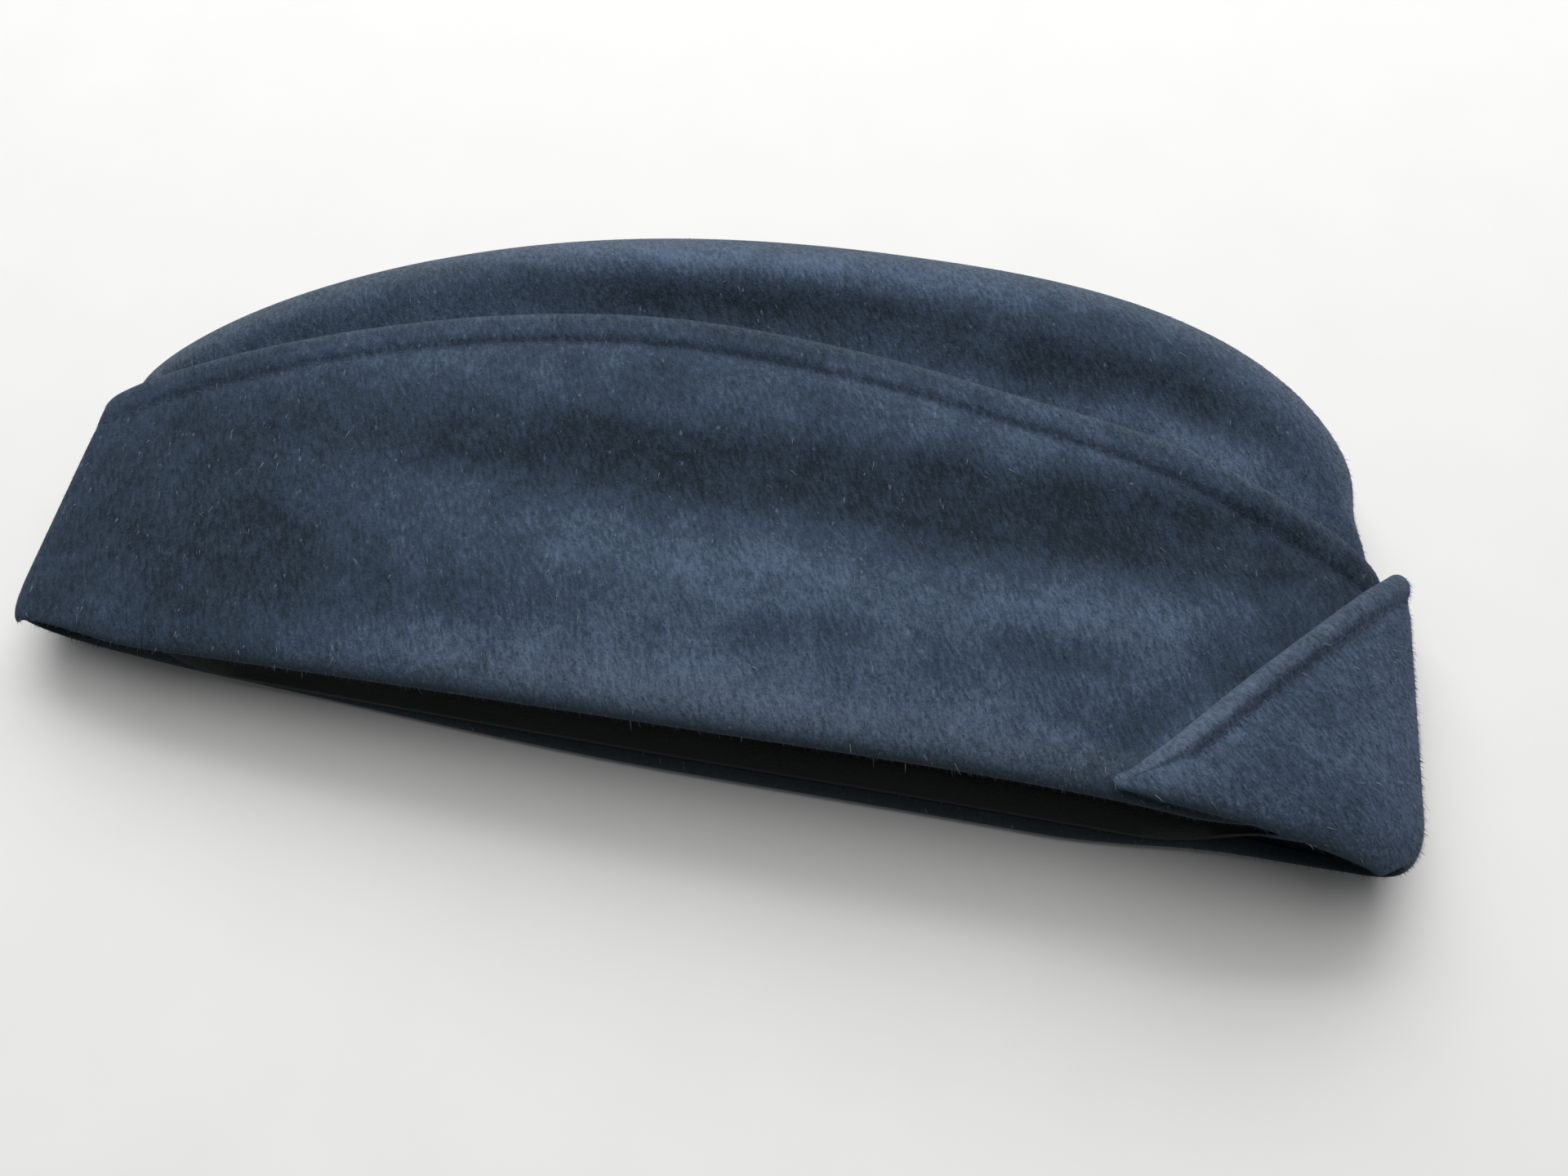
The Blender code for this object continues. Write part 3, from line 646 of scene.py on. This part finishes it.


class Course:
    """Way of a curtain's layers along one side. It holds the top edge, the turn-under at the rim, and how
    much longer than straight up a cut across the welt is, and places heights and depths along the way."""

    def __init__(self, side, span):
        self.side, self.span = side, span
        self.swing = np.zeros_like(span)
        if side == LEFT:
            self.swing = rising(span, LAP_SPREAD_START, 1 - LAP_SPREAD_START)
        self.top = curtain_height(span) + (LAP_TOP - CURTAIN_FRONT) * self.swing
        if side == RIGHT:
            lifted = FRONT_LIFT * rising(span, *EDGE_LIFTS)
            self.top = self.top + lifted + FRONT_LIFT / 3 * rising(span, *EDGE_LIFTS_MORE)
        pressed = 1 - END_FLATNESS * rising(np.abs(span), *RIM_FLATTENS)
        self.turn = (RIM_TURN + (HEM_TURN - RIM_TURN) * self.swing) * pressed
        self.inner_foot = INNER_FOOT + FOOT_RISE * rising(np.abs(span), *FOOT_RISES)
        self.slant = np.ones_like(span)
        self.tone = 0.0
        self.inner_end = None
        self.rim_wear = RIM_WEAR * (1 - BACK_WEAR_LOST * rising(-span, *BACK_WEAR_FADES))
        drawn_up = rising(span, *RIGHT_RIM_RISES) + rising(-span, *RIGHT_BACK_RISES) * BACK_DRAWN
        if side == LEFT:
            drawn_up = smoothstep(-span) + rising(span, *LEFT_RIM_RISES)
            drawn_up = drawn_up - rising(span, *LEFT_RIM_EASES) / 5
        self.drop = (RIGHT_RIM_DROP if side == RIGHT else RIM_DROP) - RIM_DRAWN * drawn_up
        self.groove = GROOVE_BELOW + (LAP_GROOVE - GROOVE_BELOW) * self.swing
        self.relief = 1 - BACK_WELT_LOST * rising(-span, *BACK_WELT_FADES)
        if side == LEFT:
            self.relief = self.relief * (1 - (1 - FOLD_RELIEF) * rising(span, *LEFT_WELT_FADES))
        fading = rising(span, *RIGHT_WELT_FADES) * (side == RIGHT)
        self.welt_out = WELT_OUT * self.relief * (1 - fading)

    def at(self, height, depth):
        return place(self.side, self.span, height, depth - LAP_LIFT * self.swing)


def curtain_section(course, welt_wear):
    """Heights, depths, wear, and painted shade with some soil round the wool of a curtain, and which of its
    points face out.
    """
    top, turn, size = course.top, course.turn, course.slant
    shoulder = top - WELT_HIGH * size
    lip = np.minimum(RIM_LIP, np.where(shoulder > 0, shoulder / 2, shoulder))
    angle = np.linspace(0, np.pi, RIM_ROWS)
    rim = lip - (lip + course.drop) * np.sin(angle), turn / 2 * (1 + np.cos(angle))
    groove = top - course.groove * size
    wall_top = np.maximum(groove - GROOVE_REACH * GROOVE_SLOPE * size, lip + (shoulder - lip) / 3)
    wall = lip + (wall_top - lip) * np.linspace(0, 1, WALL_ROWS + 1)[1:]
    welt = wall_top + (shoulder - wall_top) * np.linspace(0, 1, GROOVE_ROWS + 1)[1:]
    wide = np.where(welt > groove, GROOVE_WIDTH, GROOVE_SLOPE) * size
    drawn = GROOVE_DEPTH * course.relief * np.exp(-((welt - groove) / wide) ** 2)
    start = np.maximum(groove, wall_top)
    rise = np.maximum(np.minimum(WELT_RISE * size, shoulder - start), LEAST_RISE)
    drawn = drawn - course.welt_out * smoothstep((welt - start) / rise)
    turns = np.linspace(np.pi, 0, ROLL_STEPS + 1)[1:]
    middle, half = (CURTAIN_STACK - course.welt_out) / 2, (CURTAIN_STACK + course.welt_out) / 2
    roll = shoulder + WELT_HIGH * size * np.sin(turns), middle + half * np.cos(turns)
    leg = top - (EDGE_RADIUS + EDGE_LEG) * size
    under = np.linspace(0, np.pi, BORE_STEPS + 1)
    bore = top - (EDGE_RADIUS - EDGE_BORE * np.sin(under)) * size, EDGE_RADIUS + EDGE_BORE * np.cos(under)
    back = wall_top - (wall_top - lip) * np.linspace(0, 1, BACK_ROWS)
    inner = angle[::-2]
    hem = (lip - (lip + course.drop - WOOL) * np.sin(inner),
           turn / 2 + np.maximum(turn / 2 - WOOL, LEAST_HEM) * np.cos(inner))
    height = np.concatenate((rim[0], wall, welt, roll[0], leg, leg, bore[0] + leg * 0, back, hem[0]), 1)
    legs = leg * 0 + CURTAIN_STACK, leg * 0 + CURTAIN_STACK - EDGE_WOOL
    depth = np.concatenate((rim[1], wall * 0, drawn, roll[1], *legs, bore[1] + leg * 0, back * 0 + WOOL,
                            hem[1]), 1)
    outer = np.arange(height.shape[1]) < RIM_ROWS + WALL_ROWS + GROOVE_ROWS + ROLL_STEPS
    on_welt = 1 - smoothstep((top - height) / (WELT_HIGH * size) - WELT_WORN)
    at_rim = np.exp(-((height - RIM_WORN_HIGH) / RIM_WORN) ** 2) * course.rim_wear
    # Painted shade, with some soil: dark on the rim's inner turn, fading towards its outer face, and on the
    # hem.
    soil = np.zeros_like(height)
    soil[:, :RIM_ROWS] = 1 - rising(angle / np.pi, *SHADE_AND_SOIL_FADES)
    soil[:, -len(inner):] = 1
    return height, depth, outer * np.maximum(on_welt * welt_wear, at_rim), soil, outer


def backing_section(course, depth, thickness):
    """Flat layer behind a curtain's wool, from the turned rim up to the rolled edge."""
    top = course.top
    foot = np.minimum(course.inner_foot, top * LOW_FOOT)
    high = np.maximum(top - (EDGE_RADIUS + EDGE_LEG) * course.slant - CLEARANCE, foot + LEAST_LINER)
    rise = foot + (high - foot) * np.linspace(0, 1, LINER_ROWS)
    height = np.concatenate((rise, rise[:, ::-1]), 1)
    return height, np.concatenate((rise * 0 + depth, rise * 0 + depth + thickness), 1)


def cord_section(course):
    angle = np.linspace(0, 2 * np.pi, CORD_SIDES + 1)[:-1]
    height = course.top - (EDGE_RADIUS - CORD_RADIUS * np.sin(angle)) * course.slant
    return height, height * 0 + EDGE_RADIUS - CORD_RADIUS * np.cos(angle)


# Unbleached canvas in plain weave.
canvas, inputs, link = finish("canvas interlining")
warp = link.add("ShaderNodeTexWave", {"Vector": link.lying(), "Scale": 420.0}, output=1)
weft = link.add("ShaderNodeTexWave", {"Vector": link.lying(turn=90), "Scale": 420.0}, output=1)
slubs = link.noise(link.lying(), 160.0, 3.0)
weave = warp * weft
shade = weave * 0.5 + slubs * 0.5
shade.mixed(colour(150, 138, 116), colour(196, 186, 164)).feed(inputs["Base Color"])
(0.85 + 0.1 * slubs).feed(inputs["Roughness"])
weave.bump(0.0003).feed(inputs["Normal"])

# Twisted cotton cord.
cotton_cord, inputs, link = finish("cotton filler cord")
strands = link.add("ShaderNodeTexWave", {"Vector": link.lying(turn=40), "Scale": 380.0,
                                         "Distortion": 0.4}, output=1)
strands.mixed(colour(150, 144, 128), colour(204, 198, 182)).feed(inputs["Base Color"])
(0.8 + 0.1 * strands).feed(inputs["Roughness"])
strands.bump(0.0003).feed(inputs["Normal"])


def curtain_layers(name, node, course, carry, cloth, welt_wear):
    """The four layers of a curtain along its course. node names the solid that the wool stands for, and
    carry is called on each piece: it attaches the piece to the cap's body or bakes its place."""
    height, depth, wear, soil, outer = curtain_section(course, welt_wear)
    rings = course.at(height, depth)
    nap = outer * (rings[..., 2] > NAP_LOW)
    # The wool gets painted light and shade from its swells, folds and listed places, and the course's own
    # share.
    layers = {"wool": body_through(name + "_wool", rings, cloth, wear=wear, soil=soil, nap=nap,
                                   tone=painted_shading_of(course.side, rings, True) + course.tone)}
    for layer, material, deep, thick in (("canvas", canvas, CANVAS_DEPTH, CANVAS),
                                         ("facing", cloth, FACING_DEPTH, FACING)):
        rings = course.at(*backing_section(course, deep, thick))[:course.inner_end]
        layers[layer] = body_through(name + "_inner_" + layer, rings, material, wear=0, nap=0, tone=0)
    rings = course.at(*cord_section(course))[:course.inner_end]
    layers["cord"] = body_through(name + "_cord", rings, cotton_cord)
    for layer, solid, slot in (("wool", node, "wool"), ("canvas", node + "_interlining", "canvas"),
                               ("facing", node + "_facing", "wool"),
                               ("cord", node.replace("_curtain", "") + "_edge_cord", "edge_cord")):
        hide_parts(solid)
        carry(layers[layer])
    cut_flat(layers["wool"])
    for layer in ("canvas", "facing"):
        cut_flat(layers[layer])
    return layers


def ride_on_cap(piece):
    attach(piece, "cap")


# The right curtain stops a few sections short of the front fold, under the lap.
RIGHT_SHORT = 3
right_course = Course(RIGHT, spans(CURTAIN_STATIONS)[:-RIGHT_SHORT])
right_layers = curtain_layers("right_curtain", "right_curtain", right_course, ride_on_cap, wool, WELT_WEAR)

# The left curtain ends under the front fold, where the lap's cloth takes over.
UNDER_FOLD = 0.985
LEAST_STEP = 0.002
left_spans = spans(CURTAIN_STATIONS)[:, 0]
left_spans = np.append(left_spans[left_spans < UNDER_FOLD - LEAST_STEP], UNDER_FOLD)[:, None]
left_course = Course(LEFT, left_spans)
left_layers = curtain_layers("left_curtain", "left_curtain", left_course, ride_on_cap, wool, WELT_WEAR)

# Front lap.
# The left curtain's cloth goes on round the front fold and laps over the right curtain. Its edge slants
# from the fold down to the rim, with the same cord and stitched groove, and lifts about the fold.
UNDER_STATIONS = 9
FOLD_STATIONS = 24
LAP_STATIONS = 130
LAP_HEM_DROP = 0.0015  # how far the lap's rim hangs past the fold, and the height that moves with it
HEM_DROP_HIGH = 0.0300
HEM_DROP_FULL = 0.45  # share of the way round the fold that it takes
POINT_DROP_LOST = 0.8  # share of it that is lost at the lap's foot
LAP_END_HIGH = 0.0010  # height of the lap where its foot is rounded off
LAP_END = 0.0022
LAP_END_FLAT = 0.68  # share of its thickness that is pressed out there
LAP_THIN = 0.0140  # height of the lap at which that starts
END_STEPS = 6
INNER_SHORT = 12  # sections by which the layers inside stop before the end
LAP_RIM_WEAR = 0.25
LAP_WELT_WEAR = 0.45
LAP_WELT_OUT = 0.0009
POINT_WELT_LOST = 0.6  # share of it that is lost at the foot
LAP_TAPER = 0.15  # the welt gets narrower by these shares along the lap and at its foot
LAP_POINT = 0.42
POINT_NARROWS = (0.78, 0.22)  # share of the way down at which the foot starts, and over how much
GROOVE_FADES = 0.0040  # height above the rim's lip over which the groove runs out
LAP_PAINTED_LIGHT = 0.7  # painted light: the lap is painted paler than the curtain, and most at the fold
FOLD_PAINTED_LIGHT = 0.5
# Distances from the front fold over which things change.
RIM_FILLS = 0.0200
RIM_LET_DOWN = 0.0040
WELT_FILLS = 0.0140
FOLD_PALE = 0.0220


class LapCourse(Course):
    """Way of the lap's layers: the last of the left side, round the front fold, and back along the right."""

    def __init__(self):
        super().__init__(LEFT, np.linspace(UNDER_FOLD, 1, UNDER_STATIONS)[:, None])
        first = len(self.span)
        share = np.linspace(0, 1, FOLD_STATIONS + 1)[1:, None] ** 2
        last = FRONT_REACH - LAP_FOOT + LAP_END_HIGH / LAP_SLOPE
        columns = np.linspace(HINGE_X, last, LAP_STATIONS)[1:, None]
        columns = np.concatenate((columns, np.full((END_STEPS, 1), last)))
        self.share = np.concatenate((share, np.ones_like(columns)))
        self.column = np.concatenate((np.full_like(share, HINGE_X), columns))
        along = FRONT_REACH + (self.column - FRONT_REACH) * self.share
        self.top = np.concatenate((self.top, (along - FRONT_REACH + LAP_FOOT) * LAP_SLOPE))
        past = FRONT_REACH - along
        filled = 1 - END_FLATNESS + END_FLATNESS * smoothstep(past / RIM_FILLS)
        self.turn = np.concatenate((self.turn, HEM_TURN * filled))
        rise = FOOT_RISE * (1 - smoothstep(past / RIM_FILLS))
        self.inner_foot = np.concatenate((self.inner_foot, INNER_FOOT + rise))
        down = (HINGE_X - self.column) / (HINGE_X - last)
        self.foot = rising(down, *POINT_NARROWS)
        taper = 1 - LAP_TAPER * down - LAP_POINT * self.foot
        slant = (1 + (math.hypot(1, LAP_SLOPE) - 1) * self.share) * taper
        self.slant = np.concatenate((self.slant, slant))
        relief = FOLD_RELIEF + (1 - FOLD_RELIEF) * smoothstep(past / WELT_FILLS)
        standing = relief * (1 - POINT_WELT_LOST * self.foot)
        self.welt_out = LAP_WELT_OUT * np.concatenate((self.relief, standing))
        above_rim = self.top[first:] - LAP_GROOVE * slant - RIM_LIP
        self.relief = np.concatenate((self.relief, relief * smoothstep(above_rim / GROOVE_FADES)))
        thinning = (LAP_THIN - self.top[first:]) / (LAP_THIN - LAP_END_HIGH)
        self.flat = 1 - LAP_END_FLAT * smoothstep(thinning)
        # Painted light: the lap is painted paler, and most near the front fold.
        near_fold = np.concatenate((np.ones_like(self.span), 1 - smoothstep(past / FOLD_PALE)))
        self.tone = LAP_PAINTED_LIGHT + FOLD_PAINTED_LIGHT * near_fold
        self.inner_end = -END_STEPS - INNER_SHORT
        self.rim_wear = LAP_RIM_WEAR
        drawn_up = 1 - smoothstep(past / RIM_LET_DOWN)
        self.drop = np.concatenate((self.drop, RIM_DROP - RIM_DRAWN * drawn_up * 4 / 5))
        self.groove = np.concatenate((self.groove, np.full_like(along, LAP_GROOVE)))
        self.side = RIGHT

    def at(self, height, depth):
        first = len(self.span)
        under = place(LEFT, self.span, height[:first], depth[:first] - LAP_LIFT * self.swing)
        high = height[first:]
        deep = CURTAIN_STACK - (CURTAIN_STACK - depth[first:]) * self.flat - LAP_LIFT
        fold = half_length(1.0, high) - deep
        x = fold + (self.column - fold) * self.share
        drop = LAP_HEM_DROP * smoothstep(self.share / HEM_DROP_FULL) * (1 - POINT_DROP_LOST * self.foot)
        drop = drop * (1 - smoothstep(high / HEM_DROP_HIGH))
        rings = np.concatenate((under, place(RIGHT, np.minimum(x / fold, 1), high - drop, deep)))
        last = rings[-END_STEPS - 1]
        middle = last.mean(0)
        for step in range(END_STEPS):
            angle = math.pi / 2 * (step + 1) / (END_STEPS + 0.5)
            rings[step - END_STEPS] = middle + (last - middle) * math.cos(angle)
            rings[step - END_STEPS, :, 0] -= LAP_END * math.sin(angle)
        return rings


LAP_NAP_TURN = NAP_TURN - 18
lap_cloth = wool_finish("lap wool", LAP_NAP_TURN)


def bend_with_lap(piece):
    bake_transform(piece)


lap_course = LapCourse()
lap_layers = curtain_layers("lap", "front_lap", lap_course, bend_with_lap, lap_cloth, LAP_WELT_WEAR)

# Stitches.
# Navy thread, sunk in the groove under each rolled edge, and along the foot of the sweatband.
STITCH_PITCH = 0.0032
STITCH_LENGTH = 0.0022
STITCH_RADIUS = 0.00024
STITCH_SINK = 0.00014
STITCH_FACING = 0.0010  # way out of the cloth to a point that a stitch faces
BAND_STITCH_HIGH = 0.0055
BAND_BARE = 4  # sections at each end of the sweatband that have no stitches


def grown(name, tree, base, inputs):
    """New object: what a node tree grows on a base mesh, with the tree's named inputs set."""
    piece = added(name, base)
    modifier = piece.modifiers.new("grow", "NODES")
    modifier.node_group = tree
    for socket in tree.interface.items_tree:
        if socket.in_out == "INPUT" and socket.name in inputs:
            modifier[socket.identifier] = inputs[socket.name]
    piece.update_tag()
    grown_mesh = bpy.data.meshes.new_from_object(piece.evaluated_get(bpy.context.evaluated_depsgraph_get()))
    piece.modifiers.remove(modifier)
    piece.data = grown_mesh
    grown_mesh.name = name
    return piece


def new_tree(name, **sockets):
    """New geometry tree with a first mesh input and named inputs: its links in and its output node."""
    tree = bpy.data.node_groups.new(name, "GeometryNodeTree")
    tree.interface.new_socket("Base", in_out="INPUT", socket_type="NodeSocketGeometry")
    for label, kind in sockets.items():
        tree.interface.new_socket(label, in_out="INPUT", socket_type="NodeSocket" + kind)
    tree.interface.new_socket("Grown", in_out="OUTPUT", socket_type="NodeSocketGeometry")
    given = tree.nodes.new("NodeGroupInput")
    links = {socket.name: Link(tree, socket) for socket in given.outputs if socket.name}
    return tree, links, tree.nodes.new("NodeGroupOutput").inputs[0]


# Row of stitches along a line of edges, whose points have the attribute up.
stitching, given, output = new_tree("stitches", Pitch="Float", Length="Float", Radius="Float",
                                    Thread="Material")
link = Link(stitching)
line = link.add("GeometryNodeMeshToCurve", {"Mesh": given["Base"]})
line = link.add("GeometryNodeResampleCurve", {"Curve": line, "Length": given["Pitch"]}, mode="LENGTH")
tangent = link.add("GeometryNodeInputTangent")
along = link.add("FunctionNodeAlignRotationToVector", {"Vector": tangent}, axis="X")
up = link.add("GeometryNodeInputNamedAttribute", {"Name": "up"}, data_type="FLOAT_VECTOR")
turned = link.add("FunctionNodeAlignRotationToVector", {"Rotation": along, "Vector": up}, axis="Z",
                  pivot_axis="X")
bead = link.add("GeometryNodeMeshUVSphere", {"Segments": 8, "Rings": 5, "Radius": 1.0})
thick = given["Radius"]
size = link.add("ShaderNodeCombineXYZ", {0: given["Length"] * 0.5, 1: thick, 2: thick})
row = link.add("GeometryNodeInstanceOnPoints", {"Points": line, "Instance": bead, "Rotation": turned,
                                                "Scale": size})
row = link.add("GeometryNodeRealizeInstances", {"Geometry": row})
link.add("GeometryNodeSetMaterial", {"Geometry": row, "Material": given["Thread"]}).feed(output)

# Waxed thread with a slight twist.
thread, inputs, link = finish("navy thread")
twist = link.noise(link.lying((2400, 1200, 1200), 30), 1.0, 2.0)
twist.mixed(colour(22, 28, 38), colour(52, 63, 84)).feed(inputs["Base Color"])
(0.55 + 0.2 * twist).feed(inputs["Roughness"])
twist.bump(0.0001).feed(inputs["Normal"])


def stitch(name, points, above, carry):
    """Row of stitches through points. above are the same points a little way out of the cloth."""
    up = (above - points).astype(np.float32)
    line = bpy.data.meshes.new(name + "_line")
    line.from_pydata(points.tolist(), [(i, i + 1) for i in range(len(points) - 1)], [])
    line.attributes.new("up", "FLOAT_VECTOR", "POINT").data.foreach_set("vector", up.ravel())
    piece = grown(name, stitching, line, {"Pitch": STITCH_PITCH, "Length": STITCH_LENGTH,
                                          "Radius": STITCH_RADIUS, "Thread": thread})
    piece.data.shade_smooth()
    carry(piece)


# Each row starts and stops some sections away from the ends of its curtain.
for name, course, first, last, carry in (
        ("right_curtain_stitches", right_course, 18, -14, ride_on_cap),
        ("left_curtain_stitches", left_course, 18, -4, ride_on_cap),
        ("lap_stitches", lap_course, 2, -48, bend_with_lap)):
    groove = course.top - course.groove * course.slant
    sunk = GROOVE_DEPTH * course.relief + STITCH_SINK
    points, above = (course.at(groove, sunk - out)[first:last, 0] for out in (0.0, STITCH_FACING))
    stitch(name, points, above, carry)

band_spans = spans(BAND_STATIONS)[BAND_BARE:-BAND_BARE]
for side_name, side in SIDES.items():
    points, above = (place(side, band_spans, BAND_STITCH_HIGH, ALL_LAYERS + out)[:, 0]
                     for out in (0.0, STITCH_FACING))
    stitch(side_name + "_sweatband_stitches", points, above, ride_on_cap)

# Nap.
# Loose ends of wool that stand up a little from the cloth and lie one way. They make the edges fuzzy, and a
# few pale ones show as flecks.
FIBRES = 1.5e6  # on a square metre
FIBRE_LENGTH = 0.0011
FIBRE_RADIUS = 0.000045
FIBRE_LIFT = 0.18
FIBRE_SCATTER = 0.48

fibre, inputs, link = finish("loose wool", Specular_IOR_Level=0.1)
shade = link.kept("shade")
shade.ramp((0.0, colour(33, 43, 51)), (0.55, colour(61, 75, 94)), (0.90, colour(86, 100, 123)),
           (0.98, colour(96, 109, 130)), (0.995, colour(136, 142, 148))).feed(inputs["Base Color"])
(0.90 + 0.05 * shade).feed(inputs["Roughness"])


def chance(link, low, high, seed):
    """Random number for each point."""
    return link.add("FunctionNodeRandomValue", {2: low, 3: high, "Seed": seed}, output=1, data_type="FLOAT")


# Short tapered fibres over the faces whose points have the attribute nap.
nap_growth, given, output = new_tree("nap", Density="Float", Seed="Int", Lie="Vector", Lift="Float",
                                     Scatter="Float", Length="Float", Radius="Float", Fibre="Material")
link = Link(nap_growth)
grown_over = link.add("GeometryNodeInputNamedAttribute", {"Name": "nap"}, data_type="FLOAT")
density = grown_over * given["Density"]
points = link.add("GeometryNodeDistributePointsOnFaces", {"Mesh": given["Base"], "Density": density,
                                                          "Seed": given["Seed"]})
normal = Link(nap_growth, points.socket.node.outputs["Normal"])
lifted = link.add("ShaderNodeVectorMath", {0: normal, "Scale": given["Lift"]}, operation="SCALE")
stray = link.add("FunctionNodeRandomValue", {0: (-1, -1, -1), 1: (1, 1, 1), "Seed": given["Seed"]},
                 data_type="FLOAT_VECTOR")
stray = link.add("ShaderNodeVectorMath", {0: stray, "Scale": given["Scatter"]}, operation="SCALE")
heading = link.add("ShaderNodeVectorMath", {0: given["Lie"], 1: lifted}, operation="ADD")
heading = link.add("ShaderNodeVectorMath", {0: heading, 1: stray}, operation="ADD")
turned = link.add("FunctionNodeAlignRotationToVector", {"Vector": heading}, axis="Z")
shade = chance(link, 0.0, 1.0, 7)
lint = shade.between(0.98, 0.995)
long = given["Length"] * chance(link, 0.4, 1.3, 3) * (1 + lint)
wide = given["Radius"] * (chance(link, 0.6, 1.4, 5) + lint)
size = link.add("ShaderNodeCombineXYZ", {0: wide, 1: wide, 2: long})
cone = link.add("GeometryNodeMeshCone", {"Vertices": 3, "Radius Top": 0.0, "Radius Bottom": 1.0,
                                         "Depth": 1.0}, fill_type="NONE")
fibres = link.add("GeometryNodeInstanceOnPoints", {"Points": points, "Instance": cone,
                                                   "Rotation": turned, "Scale": size})
fibres = link.add("GeometryNodeStoreNamedAttribute", {"Geometry": fibres, "Name": "shade", "Value": shade},
                  data_type="FLOAT", domain="INSTANCE")
fibres = link.add("GeometryNodeRealizeInstances", {"Geometry": fibres})
link.add("GeometryNodeSetMaterial", {"Geometry": fibres, "Material": given["Fibre"]}).feed(output)

for name, cloth, seed, nap_turn, carry in (
        ("right_curtain_nap", right_layers["wool"], 11, NAP_TURN, ride_on_cap),
        ("right_crown_nap", crown_pieces["right"], 12, NAP_TURN, ride_on_cap),
        ("lap_nap", lap_layers["wool"], 13, LAP_NAP_TURN, bend_with_lap),
        ("left_curtain_nap", left_layers["wool"], 14, NAP_TURN, ride_on_cap),
        ("left_crown_nap", crown_pieces["left"], 15, NAP_TURN, ride_on_cap)):
    lie = math.radians(-90 - nap_turn)
    piece = grown(name, nap_growth, cloth.data, {
        "Density": FIBRES, "Seed": seed, "Lie": (math.cos(lie), math.sin(lie), 0.0),
        "Lift": FIBRE_LIFT, "Scatter": FIBRE_SCATTER, "Length": FIBRE_LENGTH, "Radius": FIBRE_RADIUS,
        "Fibre": fibre})
    carry(piece)

# Studio.
# A pale floor, a soft window behind the cap, a soft ceiling over it, and an even sky.
FLOOR = 3.0
floor_mesh = bpy.data.meshes.new("floor")
floor_mesh.from_pydata([(-FLOOR, -FLOOR, 0), (FLOOR, -FLOOR, 0), (FLOOR, FLOOR, 0), (-FLOOR, FLOOR, 0)], [],
                       [(0, 1, 2, 3)])
floor = added("floor", floor_mesh)
paper, inputs, link = finish("pale floor", Roughness=0.9)
grain = link.noise(link.lying(), 40.0, 3.0)
grain.mixed(colour(241, 241, 239), colour(246, 246, 244)).feed(inputs["Base Color"])
floor_mesh.materials.append(paper)

sky = bpy.data.worlds.new("even sky")
bpy.context.scene.world = sky
sky.use_nodes = True
background = sky.node_tree.nodes["Background"].inputs
background["Color"].default_value = (1.0, 1.0, 1.0, 1.0)
background["Strength"].default_value = 0.12


def aim(piece, location, heading):
    piece.location = location
    piece.rotation_mode = "QUATERNION"
    piece.rotation_quaternion = Vector(heading).to_track_quat("-Z", "Y")


def soft_lamp(name, location, size, energy):
    """Rectangular lamp that shines at the middle of the cap."""
    data = bpy.data.lights.new(name, "AREA")
    data.shape = "RECTANGLE"
    data.size, data.size_y = size
    data.energy = energy
    aim(added(name, data), location, -Vector(location))


soft_lamp("window", (-0.20, 1.00, 0.95), (1.6, 1.0), 17.0)
soft_lamp("ceiling", (0.0, 0.30, 1.60), (1.6, 1.6), 14.0)

camera_data = bpy.data.cameras.new("camera")
camera_data.sensor_width = 36.0
camera_data.lens = 33.85
camera = added("camera", camera_data)
aim(camera, (0.0464, -0.1845, 0.2924), (-0.0974, 0.4904, -0.8660))
bpy.context.scene.camera = camera
bpy.context.scene.view_settings.view_transform = "Standard"
